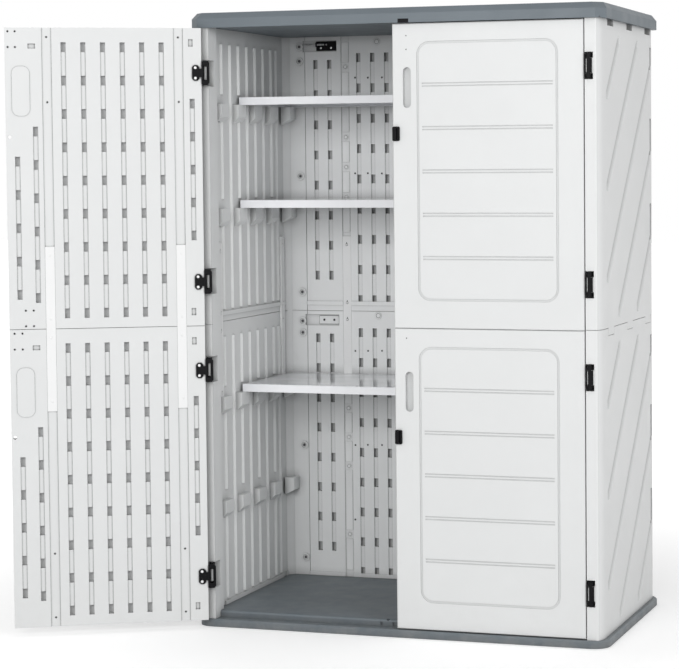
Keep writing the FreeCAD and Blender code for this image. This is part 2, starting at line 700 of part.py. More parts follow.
def fastener_pin():
    height = Z_TOP - FASTENER_DOWN - FASTENER_AXIS
    start = FASTENER_X + FASTENER_PIN_IN
    return rod(start, Y_BACK + 1, height, FASTENER_PIN_R, FASTENER_PIN_L, Vector(1, 0, 0))


# Roof

def roof_outline(inset, z):
    """Roof plan drawn in by inset, with its corners cut across."""
    x = WIDTH / 2 - inset
    y = DEPTH / 2 - inset
    c = ROOF_CORNER * (1 - inset / WIDTH)
    points = [(x - c, -y), (x, -y + c), (x, y - c), (x - c, y),
              (-x + c, y), (-x, y - c), (-x, -y + c), (-x + c, -y)]
    return [Vector(px, py, z) for px, py in points]


def roof_keeper_slot(clear):
    """Space of the black keeper under the roof's front edge, right of the middle."""
    x0 = DOOR_X0 + BOLT_IN - KEEPER_W / 2 - clear
    x1 = DOOR_X0 + BOLT_IN + KEEPER_W / 2 + clear
    front = -DEPTH / 2
    back = Y_DOOR_IN + BOLT_OFF + BOLT_R + 5
    face = box(x0, front - clear, Z_SKIRT, x1, front + KEEPER_T, Z_SKIRT + KEEPER_H + clear)
    under = box(x0, front - clear, Z_SKIRT, x1, Y_FRONT + clear, Z_SKIRT + KEEPER_T + clear)
    above = Z_TOP + KEEPER_T + clear
    riser = box(x0, Y_FRONT - KEEPER_T, Z_SKIRT, x1, Y_FRONT + clear, above)
    plate = box(x0, Y_FRONT - KEEPER_T, Z_TOP, x1, back + clear, above)
    return join([face, under, riser, plate])


def roof():
    """Double-skinned roof panel that caps the walls."""
    z_edge = Z_SKIRT + ROOF_EDGE
    z_bevel = z_edge + ROOF_BEVEL_H
    edge = frustum(roof_outline(0, Z_SKIRT), roof_outline(0, z_edge))
    bevel = frustum(roof_outline(0, z_edge), roof_outline(ROOF_BEVEL_IN, z_bevel))
    crown = frustum(roof_outline(ROOF_BEVEL_IN, z_bevel), roof_outline(ROOF_CROWN_IN, z_bevel + ROOF_CROWN))
    panel = join([edge, bevel, crown])
    cap = box(-X_OUT - FIT, Y_FRONT - FIT, Z_SKIRT - 1, X_OUT + FIT, Y_REAR + FIT, Z_TOP)
    hole = rod(DOOR_X0 + BOLT_IN, Y_DOOR_IN + BOLT_OFF, Z_SKIRT, BOLT_R + BOLT_HOLE, BOLT_THROW + ROOF_SKIRT)
    return trimmed(panel, [cap, roof_keeper_slot(FIT / 3), hole])


def roof_keeper():
    hole = rod(DOOR_X0 + BOLT_IN, Y_DOOR_IN + BOLT_OFF, Z_SKIRT, BOLT_R + BOLT_HOLE, BOLT_THROW + ROOF_SKIRT)
    return roof_keeper_slot(0).cut(hole)


# Door leaves, drawn as a closed right leaf

def door_half(section):
    """One moulding of a leaf, lower (0) or upper (1)."""
    z = DOOR_Z0 + DOOR_H * section
    top = z + DOOR_H
    slab = box(DOOR_X0, Y_FRONT, z, DOOR_X1, Y_DOOR_IN, top)
    rim = [e for e in slab.Edges if e.BoundBox.YMax < Y_FRONT + 0.01]
    slab = slab.makeFillet(DOOR_ROUND, rim)
    pad_x = DOOR_X0 + HANDLE_IN
    pad_z = top - HANDLE_DOWN
    pad = rounded_plate(pad_x - HANDLE_PAD_W / 2, pad_z - HANDLE_PAD_H / 2, pad_x + HANDLE_PAD_W / 2,
                        pad_z + HANDLE_PAD_H / 2, HANDLE_PAD_W / 2.5, Y_DOOR_IN - 1, HANDLE_PAD_PROUD + 1)
    slab = join([slab, pad])
    cuts = outer_moulding(z, top) + inner_moulding(z, top)
    if section == 1:
        cuts.append(box(DOOR_X0 - 1, Y_FRONT - 1, z, DOOR_X1 + 1, Y_FRONT + SEAM_DEEP, z + SEAM_GAP))
        cuts.append(box(DOOR_X0 - 1, Y_DOOR_IN - SEAM_DEEP, z, DOOR_X1 + 1, Y_DOOR_IN + 1, z + SEAM_GAP))
    pivot = LATCH_SHAFT_R + PIN_CLEAR
    cuts.append(rod(DOOR_X0 + LATCH_IN, Y_FRONT - 1, top - LATCH_DOWN, pivot, DOOR_T + 2, Vector(0, 1, 0)))
    return trimmed(slab, cuts)


def outer_moulding(z, top):
    """Outline, board lines and handle recess of the outer face."""
    x0 = DOOR_X0 + OUTLINE_SIDE
    x1 = DOOR_X1 - OUTLINE_SIDE
    z0 = z + OUTLINE_FOOT
    z1 = top - OUTLINE_TOP
    ring = rounded_plate(x0, z0, x1, z1, OUTLINE_R, Y_FRONT - 1, OUTLINE_DEEP + 1)
    w = OUTLINE_W
    core = rounded_plate(x0 + w, z0 + w, x1 - w, z1 - w, OUTLINE_R - w, Y_FRONT - 2, OUTLINE_DEEP + 3)
    made = [ring.cut(core)]
    board = (z1 - z0) / BOARD_COUNT
    for k in range(1, BOARD_COUNT):
        for step in (-BOARD_LINE_STEP / 2, BOARD_LINE_STEP / 2):
            level = z0 + board * k + step
            made.append(box(x0 + BOARD_LINE_END, Y_FRONT - 1, level - BOARD_LINE / 2,
                            x1 - BOARD_LINE_END, Y_FRONT + BOARD_LINE_DEEP, level + BOARD_LINE / 2))
    x = DOOR_X0 + HANDLE_IN
    middle = top - HANDLE_DOWN
    made.append(rounded_plate(x - HANDLE_W / 2, middle - HANDLE_H / 2, x + HANDLE_W / 2, middle + HANDLE_H / 2,
                              HANDLE_W / 2.05, Y_FRONT - 1, HANDLE_DEEP + 1))
    return made


def door_strap_lines():
    return (DOOR_X0 + DOOR_STRAP_FREE, DOOR_X1 - DOOR_STRAP_HINGE)


def inner_moulding(z, top):
    """Strap channels, columns and small pockets of the inner face."""
    made = []
    half = STRAP_W / 2 + STRAP_CLEAR
    for x in door_strap_lines():
        made.append(box(x - half, Y_DOOR_IN - STRAP_T, z - 1, x + half, Y_DOOR_IN + 1, top + 1))
    for k in range(COLUMN_COUNT):
        x = DOOR_X0 + COLUMN_FIRST + COLUMN_PITCH * k
        made += column(x, top - COLUMN_DOWN, COLUMN_DIMPLES, Y_DOOR_IN, -1)
    for edge_in, down, count in SIDE_COLUMNS:
        made += column(DOOR_X0 + edge_in, top - down, count, Y_DOOR_IN, -1)
    hinge_in, down, count = HINGE_COLUMN
    made += column(DOOR_X1 - hinge_in, top - down, count, Y_DOOR_IN, -1)
    made.append(pocket(DOOR_X0 + HEAD_POCKET_IN, top - HEAD_POCKET_DOWN, HEAD_POCKET_W, HEAD_POCKET_H))
    for level in (top - POCKET_END, z + POCKET_END):
        made.append(pocket(DOOR_X1 - POCKET_IN, level, POCKET_W, POCKET_H))
    return made


def pocket(x, z, wide, tall):
    """Small square pocket in the leaf's inner face."""
    return box(x - wide / 2, Y_DOOR_IN - POCKET_DEEP, z - tall / 2, x + wide / 2, Y_DOOR_IN + 1, z + tall / 2)


def door_straps():
    seam = DOOR_Z0 + DOOR_H
    made = []
    for x in door_strap_lines():
        made.append(box(x - STRAP_W / 2, Y_DOOR_IN - STRAP_T, seam - STRAP_L / 2,
                        x + STRAP_W / 2, Y_DOOR_IN, seam + STRAP_L / 2))
    return made


# Hinges

def all_hinges():
    return [z for pair in hinge_heights() for z in pair]


def cut_plate(x0, z0, x1, z1, y, thick, cuts):
    """Plate whose corners are cut across; cuts gives the cut at its low-X and high-X corners."""
    a, b = cuts
    points = [(x0 + a, z0), (x1 - b, z0), (x1, z0 + b), (x1, z1 - b), (x1 - b, z1), (x0 + a, z1),
              (x0, z1 - a), (x0, z0 + a)]
    spots = []
    for px, pz in points:
        spot = Vector(px, y, pz)
        if not spots or spots[-1].distanceToPoint(spot) > 0.01:
            spots.append(spot)
    if spots[0].distanceToPoint(spots[-1]) < 0.01:
        spots.pop()
    return Part.Face(outline_wire(spots)).extrude(Vector(0, thick, 0))


def hinge_bracket(z):
    """Bracket of one hinge: leaf plate, waist, window frame, two arms and their knuckles."""
    edge = DOOR_X1
    y0 = Y_DOOR_IN
    y1 = Y_DOOR_IN + BRACKET_T
    ring_end = edge + BRACKET_RING
    low = z - HINGE_H / 2
    high = z + HINGE_H / 2
    leaf = cut_plate(edge - BRACKET_LEAF, z - BRACKET_LEAF_H / 2, edge - BRACKET_WAIST,
                     z + BRACKET_LEAF_H / 2, y0, BRACKET_T, (FRAME_CORNER, FRAME_CORNER))
    waist = box(edge - BRACKET_WAIST - 1, y0, z - BRACKET_WAIST_H / 2, edge + 1, y1, z + BRACKET_WAIST_H / 2)
    frame = cut_plate(edge, low, ring_end, high, y0, BRACKET_T, (FRAME_CORNER / 2, FRAME_CORNER))
    inner = PIVOT_H / 2 + HINGE_GAP
    window = box(edge + BRACKET_BAR, y0 - 1, z - inner, ring_end - BRACKET_BAR, y1 + 1, z + inner)
    pieces = [leaf, waist, frame.cut(window)]
    turns = [2 * math.pi * (k + 0.5) / KNUCKLE_SIDES for k in range(KNUCKLE_SIDES)]
    round_plan = [(PIN_X + KNUCKLE_R * math.cos(t), PIN_Y + KNUCKLE_R * math.sin(t)) for t in turns]
    arm_end = ring_end - FRAME_CORNER / 2
    for z0, z1 in ((low, z - inner), (z + inner, high)):
        pieces.append(prism(round_plan, z0, z1))
        pieces.append(box(PIN_X + 2, PIN_Y, z0, arm_end, y0 + 1, z1))
    return trimmed(join(pieces), [rod(PIN_X, PIN_Y, low - 1, PIN_R, HINGE_H + 2)])


def hinge_cap(z):
    """Cap over the front of the stile's centre knuckle."""
    half = PIVOT_H / 2 - HINGE_GAP
    outer = rod(PIN_X, PIN_Y, z - half, KNUCKLE_R + CAP_PROUD, 2 * half)
    reach = KNUCKLE_R + CAP_PROUD + 1
    zone = box(PIN_X - reach, PIN_Y - reach, z - half, PIN_X + reach, PIN_Y - CAP_BACK, z + half)
    return outer.common(zone).cut(rod(PIN_X, PIN_Y, z - half - 1, KNUCKLE_R, 2 * half + 2))


def hinge_pin(z):
    return rod(PIN_X, PIN_Y, z - HINGE_H / 2, PIN_R, HINGE_H)


# Latches and bolts, drawn on the closed right leaf

def latch_height(section):
    return DOOR_Z0 + DOOR_H * (section + 1) - LATCH_DOWN


def latch_end():
    """Inner end of a latch's shaft, flush with its retainer."""
    return Y_DOOR_IN + LATCH_CLEAR + RETAINER_T


def turn_latch(section):
    """Turn button with its grip and the shaft that passes through the leaf."""
    x = DOOR_X0 + LATCH_IN
    z = latch_height(section)
    y = Y_FRONT - LATCH_CLEAR - LATCH_PLATE
    plate = rounded_plate(x - LATCH_W / 2, z - LATCH_H / 2, x + LATCH_W / 2, z + LATCH_H / 2, LATCH_W / 5,
                          y, LATCH_PLATE)
    reach = LATCH_H / 2 - LATCH_RIB_END
    grip = rounded_plate(x - LATCH_RIB_W / 2, z - reach, x + LATCH_RIB_W / 2, z + reach,
                         LATCH_RIB_W / 2.1, y - LATCH_RIB, LATCH_RIB + 1)
    shaft = rod(x, y + 1, z, LATCH_SHAFT_R, latch_end() - y - 1, Vector(0, 1, 0))
    return join([plate, grip, shaft])


def latch_retainer(section):
    """Disc on the shaft's inner end."""
    start = Y_DOOR_IN + LATCH_CLEAR
    x = DOOR_X0 + LATCH_IN
    z = latch_height(section)
    disc = rod(x, start, z, RETAINER_R, RETAINER_T, Vector(0, 1, 0))
    return disc.cut(rod(x, start - 1, z, LATCH_SHAFT_R, RETAINER_T + 2, Vector(0, 1, 0)))


def bolt_end(upper):
    """Height of the bolt's free end when it is drawn back."""
    if upper:
        return DOOR_Z0 + 2 * DOOR_H - BOLT_HEAD_GAP
    return FLOOR_H + BOLT_HEAD_GAP


def door_bolt(upper):
    """Round bolt with its knob, drawn back."""
    x = DOOR_X0 + BOLT_IN
    y = Y_DOOR_IN + BOLT_OFF
    sign = 1 if upper else -1
    end = bolt_end(upper)
    bar = rod(x, y, min(end, end - sign * BOLT_L), BOLT_R, BOLT_L)
    knob_z = end - sign * (HOUSING_OFF + HOUSING_H / 2 + BOLT_THROW / 2)
    knob = rod(x, y, knob_z, KNOB_R, KNOB_L, Vector(0, 1, 0))
    return join([bar, knob])


def bolt_housing(upper):
    """Screwed guide of a bolt, slotted for the knob."""
    x = DOOR_X0 + BOLT_IN
    y = Y_DOOR_IN + BOLT_OFF
    sign = 1 if upper else -1
    near = bolt_end(upper) - sign * HOUSING_OFF
    far = near - sign * HOUSING_H
    half = BOLT_R + HOUSING_WALL
    flange = box(x - HOUSING_W / 2, Y_DOOR_IN, near, x + HOUSING_W / 2, Y_DOOR_IN + HOUSING_FLANGE, far)
    guide = box(x - half, Y_DOOR_IN, near, x + half, Y_DOOR_IN + HOUSING_D, far)
    bore = rod(x, y, min(near, far) - 1, BOLT_R + PIN_CLEAR, HOUSING_H + 2)
    middle = (near + far) / 2
    room = KNOB_R + KNOB_GAP
    slot = box(x - room, y, middle - HOUSING_SLOT / 2, x + room, y + HOUSING_D,
               middle + HOUSING_SLOT / 2)
    return join([flange, guide]).cut([bore, slot])


# Shelves

def shelf_plan(inset):
    """Plan of a shelf drawn in by inset, its rear corners cut to clear the wall's."""
    x = X_IN - RIB_PROUD - SHELF_SIDE_GAP
    y0 = Y_FRONT + SHELF_FRONT + inset
    y1 = Y_BACK - SHELF_BACK_GAP
    cut = x + y1 - (X_IN + Y_BACK - INNER_FACET) + 2 * SHELF_BACK_GAP
    lean = math.tan(math.radians(22.5)) * inset
    right = [(x - inset, y0), (x - inset, y1 - cut - lean), (x - cut - lean, y1 - inset)]
    return right + [(-px, py) for px, py in reversed(right)]


def shelf(level_z):
    """Folded sheet shelf: top, down-turned edges and inward lips."""
    t = SHELF_SHEET
    top = level_z + SHELF_T
    outer = prism(shelf_plan(0), level_z, top)
    rim = [e for e in outer.Edges if e.BoundBox.ZMin > top - 0.01]
    outer = outer.makeChamfer(SHELF_BEVEL, rim)
    hollow = prism(shelf_plan(t), level_z + t, top - t)
    mouth = prism(shelf_plan(t + SHELF_LIP), level_z - 1, level_z + t + 1)
    return outer.cut([hollow, mouth])


def build():
    os.makedirs("parts", exist_ok=True)
    save("base_tray", base_tray())
    save("roof", roof())
    save("roof_keeper", roof_keeper())
    for section, word in ((0, "lower"), (1, "upper")):
        right = side_panel(section)
        save(f"side_panel_right_{word}", right)
        save(f"side_panel_left_{word}", mirrored(right))
        save(f"back_panel_{word}", back_panel(section))
        half = door_half(section)
        save(f"right_door_{word}", half)
        save(f"left_door_{word}", open_left(half))
        save(f"{word}_latch", turn_latch(section))
        save(f"{word}_latch_retainer", latch_retainer(section))
    straps = wall_straps()
    save("right_wall_straps", straps)
    save("left_wall_straps", [mirrored(s) for s in straps])
    save("back_straps", back_straps())
    save("right_door_straps", door_straps())
    save("left_door_straps", [open_left(s) for s in door_straps()])
    brackets = [hinge_bracket(z) for z in all_hinges()]
    save("right_hinge_brackets", brackets)
    save("left_hinge_brackets", [open_left(b) for b in brackets])
    pins = [hinge_pin(z) for z in all_hinges()]
    save("right_hinge_pins", pins)
    save("left_hinge_pins", [open_left(p) for p in pins])
    caps = [hinge_cap(z) for z in all_hinges()]
    save("right_hinge_caps", caps)
    save("left_hinge_caps", [mirrored(c) for c in caps])
    save("right_corner_fastener", corner_fastener())
    save("left_corner_fastener", mirrored(corner_fastener()))
    save("right_fastener_pin", fastener_pin())
    save("left_fastener_pin", mirrored(fastener_pin()))
    for upper, word in ((True, "top"), (False, "bottom")):
        save(f"{word}_bolt", door_bolt(upper))
        save(f"{word}_bolt_housing", bolt_housing(upper))
    save("shelf_lower", shelf(RIM_H + SHELF_LEVELS[1]))
    save("shelf_middle", shelf(Z_SEAM + SHELF_LEVELS[0]))
    save("shelf_upper", shelf(Z_SEAM + SHELF_LEVELS[1]))


build()
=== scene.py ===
import math

import bpy
from mathutils import Matrix, Vector


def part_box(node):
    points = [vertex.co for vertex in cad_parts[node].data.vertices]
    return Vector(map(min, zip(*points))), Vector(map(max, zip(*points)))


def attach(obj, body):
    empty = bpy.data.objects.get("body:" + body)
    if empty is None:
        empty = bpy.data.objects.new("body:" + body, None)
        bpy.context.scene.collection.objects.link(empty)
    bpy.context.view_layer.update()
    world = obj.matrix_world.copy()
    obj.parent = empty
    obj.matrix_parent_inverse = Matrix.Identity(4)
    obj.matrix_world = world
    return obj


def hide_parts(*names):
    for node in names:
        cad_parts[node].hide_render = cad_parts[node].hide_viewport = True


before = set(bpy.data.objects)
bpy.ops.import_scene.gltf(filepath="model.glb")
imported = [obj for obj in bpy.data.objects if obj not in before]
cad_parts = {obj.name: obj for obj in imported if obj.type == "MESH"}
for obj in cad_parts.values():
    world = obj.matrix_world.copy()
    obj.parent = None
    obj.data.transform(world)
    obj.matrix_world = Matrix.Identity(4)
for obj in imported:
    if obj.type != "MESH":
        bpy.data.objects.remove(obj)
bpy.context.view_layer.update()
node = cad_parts


# Base tray.
# One shallow tray of slate grey resin, moulded in one shot with a fine mould
# grain. It stands on the ground, so a little dust clings to its lower edge.

def shader_group(name, takes, gives):
    """An empty node group with named sockets, and its two end nodes."""
    tree = bpy.data.node_groups.new(name, "ShaderNodeTree")
    for label, kind, value in takes:
        socket = tree.interface.new_socket(name=label, in_out="INPUT", socket_type=kind)
        socket.default_value = value
    for label, kind in gives:
        tree.interface.new_socket(name=label, in_out="OUTPUT", socket_type=kind)
    return tree, tree.nodes.new("NodeGroupInput"), tree.nodes.new("NodeGroupOutput")


def add_node(tree, kind, settings=None, **inputs):
    """A node with its settings made, and its inputs set or linked."""
    made = tree.nodes.new("ShaderNode" + kind)
    for label, value in (settings or {}).items():
        setattr(made, label, value)
    for label, value in inputs.items():
        key = int(label[1:]) if label[0] == "i" and label[1:].isdigit() else label.replace("_", " ")
        if isinstance(value, bpy.types.NodeSocket):
            tree.links.new(value, made.inputs[key])
        else:
            made.inputs[key].default_value = value
    return made


def spread(tree, value, low, high, to_low, to_high):
    """A value mapped from one range to another, held at the ends."""
    made = add_node(tree, "MapRange", {"clamp": True}, Value=value, From_Min=low, From_Max=high,
                    To_Min=to_low, To_Max=to_high)
    return made.outputs["Result"]


def make_grain_and_shade():
    """Moulded resin: slow mottling, painted shade darkening creases and fine grooves by occlusion, uneven
    sheen and a pebbled grain.
    """
    tree, takes, gives = shader_group(
        "grain_and_shade",
        [("Color", "NodeSocketColor", (0.5, 0.5, 0.5, 1)), ("Mottle", "NodeSocketFloat", 0.03),
         ("Grain Size", "NodeSocketFloat", 0.002), ("Roughness", "NodeSocketFloat", 0.5),
         ("Sheen Change", "NodeSocketFloat", 0.1), ("Grime", "NodeSocketFloat", 0.5),
         ("Line", "NodeSocketFloat", 0.4)],
        [("Color", "NodeSocketColor"), ("Roughness", "NodeSocketFloat"), ("Height", "NodeSocketFloat")])
    where = add_node(tree, "TexCoord").outputs["Object"]
    # Painted shade: two occlusion readings, a wide one and a narrow one, darken the colour in creases,
    # recesses and fine grooves, where shade falls.
    deep = add_node(tree, "AmbientOcclusion", {"samples": 6}, Distance=0.032).outputs["AO"]
    fine_line = add_node(tree, "AmbientOcclusion", {"samples": 6}, Distance=0.006).outputs["AO"]
    hidden = spread(tree, deep, 0.2, 0.97, 1.0, 0.0)
    broad = add_node(tree, "Math", {"operation": "MULTIPLY"}, i0=hidden, i1=takes.outputs["Grime"])
    narrow = spread(tree, fine_line, 0.3, 0.9, 1.0, 0.0)
    line = add_node(tree, "Math", {"operation": "MULTIPLY"}, i0=narrow, i1=takes.outputs["Line"])
    grime = add_node(tree, "Math", {"operation": "MAXIMUM"}, i0=broad.outputs[0], i1=line.outputs[0])
    unshaded = add_node(tree, "Math", {"operation": "SUBTRACT"}, i0=1.0, i1=grime.outputs[0])
    cloud = add_node(tree, "TexNoise", None, Vector=where, Scale=4.0, Detail=4.0, Roughness=0.6)
    swing = spread(tree, cloud.outputs["Fac"], 0.3, 0.7, -1.0, 1.0)
    shade = add_node(tree, "Math", {"operation": "MULTIPLY_ADD"}, i0=swing, i1=takes.outputs["Mottle"],
                     i2=1.0)
    both = add_node(tree, "Math", {"operation": "MULTIPLY"}, i0=shade.outputs[0], i1=unshaded.outputs[0])
    tint = add_node(tree, "VectorMath", {"operation": "SCALE"}, i0=takes.outputs["Color"],
                    Scale=both.outputs[0])
    patch = add_node(tree, "TexNoise", None, Vector=where, Scale=17.0, Detail=2.0)
    gloss = spread(tree, patch.outputs["Fac"], 0.25, 0.75, -0.5, 0.5)
    rough = add_node(tree, "Math", {"operation": "MULTIPLY_ADD"}, i0=gloss, i1=takes.outputs["Sheen Change"],
                     i2=takes.outputs["Roughness"])
    fine = add_node(tree, "Math", {"operation": "DIVIDE"}, i0=1.0, i1=takes.outputs["Grain Size"])
    pebble = add_node(tree, "TexNoise", None, Vector=where, Scale=fine.outputs[0], Detail=1.0)
    tree.links.new(tint.outputs[0], gives.inputs["Color"])
    tree.links.new(rough.outputs[0], gives.inputs["Roughness"])
    tree.links.new(pebble.outputs["Fac"], gives.inputs["Height"])
    return tree


def make_yard_dust():
    """Dust from the ground: thick at the foot, thinner upwards, and a film on what faces up."""
    tree, takes, gives = shader_group(
        "yard_dust",
        [("Color", "NodeSocketColor", (0.5, 0.5, 0.5, 1)), ("Dust", "NodeSocketColor", (0.5, 0.47, 0.42, 1)),
         ("Amount", "NodeSocketFloat", 0.2), ("Reach", "NodeSocketFloat", 0.12),
         ("Film", "NodeSocketFloat", 0.05)],
        [("Color", "NodeSocketColor")])
    where = add_node(tree, "TexCoord").outputs["Object"]
    height = add_node(tree, "SeparateXYZ", None, Vector=where).outputs["Z"]
    share = add_node(tree, "Math", {"operation": "DIVIDE"}, i0=height, i1=takes.outputs["Reach"])
    low = spread(tree, share.outputs[0], 0.0, 1.0, 1.0, 0.0)
    blots = add_node(tree, "TexNoise", None, Vector=where, Scale=22.0, Detail=5.0, Roughness=0.65)
    patchy = spread(tree, blots.outputs["Fac"], 0.35, 0.7, 0.15, 1.0)
    foot = add_node(tree, "Math", {"operation": "MULTIPLY"}, i0=low, i1=takes.outputs["Amount"])
    facing = add_node(tree, "SeparateXYZ", None, Vector=add_node(tree, "NewGeometry").outputs["Normal"])
    up = spread(tree, facing.outputs["Z"], 0.6, 1.0, 0.0, 1.0)
    film = add_node(tree, "Math", {"operation": "MULTIPLY"}, i0=up, i1=takes.outputs["Film"])
    both = add_node(tree, "Math", {"operation": "ADD"}, i0=foot.outputs[0], i1=film.outputs[0])
    much = add_node(tree, "Math", {"operation": "MULTIPLY", "use_clamp": True}, i0=both.outputs[0], i1=patchy)
    mixed = add_node(tree, "Mix", {"data_type": "RGBA"}, i0=much.outputs[0], i6=takes.outputs["Color"],
                     i7=takes.outputs["Dust"])
    tree.links.new(mixed.outputs[2], gives.inputs["Color"])
    return tree


grain_and_shade = make_grain_and_shade()
yard_dust = make_yard_dust()


def moulded(name, color, mottle, grain, depth, rough, sheen_change, grime, line, dust, reach, film,
            specular=0.5):
    """A moulded resin: grain, dust and painted crease shade from the groups, with the shader kept in the
    material.
    """
    material = bpy.data.materials.new(name)
    material.use_nodes = True
    tree = material.node_tree
    skin = tree.nodes["Principled BSDF"]
    body = add_node(tree, "Group", {"node_tree": grain_and_shade}, Color=color, Mottle=mottle, Grain_Size=grain,
                    Roughness=rough, Sheen_Change=sheen_change, Grime=grime, Line=line)
    dusty = add_node(tree, "Group", {"node_tree": yard_dust}, Color=body.outputs["Color"], Amount=dust,
                     Reach=reach, Film=film)
    bump = add_node(tree, "Bump", None, Strength=0.35, Distance=depth, Height=body.outputs["Height"])
    tree.links.new(dusty.outputs["Color"], skin.inputs["Base Color"])
    tree.links.new(body.outputs["Roughness"], skin.inputs["Roughness"])
    tree.links.new(bump.outputs["Normal"], skin.inputs["Normal"])
    skin.inputs["Specular IOR Level"].default_value = specular
    return material


def finish_nodes(material, *names):
    """CAD nodes that are right as they are get their real finish."""
    for name in names:
        slots = node[name].data.materials
        slots.clear()
        slots.append(material)


# Painted shade: the creases and fine grooves of the tray and roof are darkened in this colour.
slate_resin = moulded("slate_resin", color=(0.143, 0.170, 0.191, 1), mottle=0.06, grain=0.0022, depth=0.0004,
                      rough=0.5, sheen_change=0.12, grime=0.6, line=0.5, dust=0.22, reach=0.05, film=0.05)
finish_nodes(slate_resin, "base_tray")


# Side walls and back wall.
# Blow-moulded double-skinned panels of pale grey resin, two high on each side.
# Their ribs, dimples and columns are moulded in; the skin is dull and even.

# Painted light: the walls are the doors' plastic, but set lighter (0.87 against 0.77) so that their shaded
# inner faces read lighter. Their creases are painted darker as shade.
pale_resin = moulded("pale_resin", color=(0.87, 0.88, 0.88, 1), mottle=0.012, grain=0.0018, depth=0.0003,
                     rough=0.48, sheen_change=0.10, grime=0.52, line=0.48, dust=0.08, reach=0.25, film=0.02)

FRONT_SKIN = -0.335      # metres; what lies before it is the front of the stiles
CHANNELS_MIDDLE = 0.022  # middle of the stretch that the slanted channels take, and half its length
CHANNELS_HALF = 0.285


def make_wall_shade():
    """Painted shade on the walls: the outer skin a little darker, the floors of its slanted channels darker
    still, and the stiles' front faces darker too.
    """
    tree, takes, gives = shader_group(
        "wall_shade",
        [("Color", "NodeSocketColor", (0.5, 0.5, 0.5, 1)), ("Fade", "NodeSocketFloat", 0.05),
         ("Front Fade", "NodeSocketFloat", 0.1), ("Dirt", "NodeSocketFloat", 0.1),
         ("Outer Face", "NodeSocketFloat", 0.61), ("Channel Depth", "NodeSocketFloat", 0.007)],
        [("Color", "NodeSocketColor")])
    place = add_node(tree, "SeparateXYZ", None, Vector=add_node(tree, "TexCoord").outputs["Object"])
    aside = add_node(tree, "Math", {"operation": "ABSOLUTE"}, i0=place.outputs["X"])
    below = add_node(tree, "Math", {"operation": "SUBTRACT"}, i0=takes.outputs["Outer Face"],
                     i1=aside.outputs[0])
    sunk = add_node(tree, "Math", {"operation": "DIVIDE"}, i0=below.outputs[0],
                    i1=takes.outputs["Channel Depth"])
    deep = spread(tree, sunk.outputs[0], 0.05, 0.95, 0.0, 1.0)
    outer = add_node(tree, "Math", {"operation": "LESS_THAN"}, i0=sunk.outputs[0], i1=1.5)
    behind = add_node(tree, "Math", {"operation": "SUBTRACT"}, i0=place.outputs["Y"], i1=CHANNELS_MIDDLE)
    from_middle = add_node(tree, "Math", {"operation": "ABSOLUTE"}, i0=behind.outputs[0])
    flat = add_node(tree, "Math", {"operation": "LESS_THAN"}, i0=from_middle.outputs[0], i1=CHANNELS_HALF)
    channel = add_node(tree, "Math", {"operation": "MULTIPLY"}, i0=deep, i1=flat.outputs[0])
    side_shade = add_node(tree, "Math", {"operation": "MULTIPLY_ADD"}, i0=channel.outputs[0],
                    i1=takes.outputs["Dirt"], i2=takes.outputs["Fade"])
    front = add_node(tree, "Math", {"operation": "LESS_THAN"}, i0=place.outputs["Y"], i1=FRONT_SKIN)
    side_loss = add_node(tree, "Math", {"operation": "MULTIPLY"}, i0=outer.outputs[0], i1=side_shade.outputs[0])
    front_loss = add_node(tree, "Math", {"operation": "MULTIPLY"}, i0=front.outputs[0],
                          i1=takes.outputs["Front Fade"])
    loss = add_node(tree, "Math", {"operation": "MAXIMUM"}, i0=side_loss.outputs[0], i1=front_loss.outputs[0])
    kept = add_node(tree, "Math", {"operation": "SUBTRACT"}, i0=1.0, i1=loss.outputs[0])
    tint = add_node(tree, "VectorMath", {"operation": "SCALE"}, i0=takes.outputs["Color"],
                    Scale=kept.outputs[0])
    tree.links.new(tint.outputs[0], gives.inputs["Color"])
    return tree


# Painted shade over the walls' colour: darker outer skin, channel floors and stile fronts, from the group
# above.
walls = pale_resin.node_tree
skin = walls.nodes["Principled BSDF"]
color_before_wall_shade = skin.inputs["Base Color"].links[0].from_socket
wall_shaded = add_node(walls, "Group", {"node_tree": make_wall_shade()}, Color=color_before_wall_shade, Fade=0.045,
                     Front_Fade=0.11, Dirt=0.20, Outer_Face=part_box("side_panel_right_lower")[1][0])
walls.links.new(wall_shaded.outputs["Color"], skin.inputs["Base Color"])
finish_nodes(pale_resin, "side_panel_right_lower", "side_panel_left_lower", "side_panel_right_upper",
             "side_panel_left_upper", "back_panel_lower", "back_panel_upper")


def start(kind, scale=(1, 1, 1), **settings):
    """One primitive, alone in the selection, open in edit mode with nothing picked."""
    bpy.ops.object.select_all(action="DESELECT")
    getattr(bpy.ops.mesh, "primitive_" + kind + "_add")(**settings)
    piece = bpy.context.object
    piece.scale = scale
    bpy.ops.object.transform_apply(location=True, rotation=True, scale=True)
    bpy.context.tool_settings.mesh_select_mode = (False, False, True)
    bpy.ops.object.mode_set(mode="EDIT")
    bpy.ops.mesh.select_all(action="DESELECT")
    return piece


def pick(piece, wanted):
    """Picks the faces that the test holds for."""
    bpy.ops.object.mode_set(mode="OBJECT")
    for face in piece.data.polygons:
        face.select = wanted(face)
    bpy.ops.object.mode_set(mode="EDIT")


def close(piece, smooth=None):
    """Ends the shaping of a piece, with rounded shading below the angle given."""
    bpy.ops.object.mode_set(mode="OBJECT")
    if smooth is not None:
        bpy.ops.object.shade_smooth_by_angle(angle=math.radians(smooth))
    return piece


def apply_all(piece):
    """Applies every modifier of a piece."""
    bpy.context.view_layer.objects.active = piece
    for modifier in list(piece.modifiers):
        bpy.ops.object.modifier_apply(modifier=modifier.name)


def lift_picked(depth):
    """Draws the picked faces out along Z by a depth, with new walls round them."""
    bpy.ops.mesh.extrude_region_move(TRANSFORM_OT_translate={"value": (0, 0, depth)})


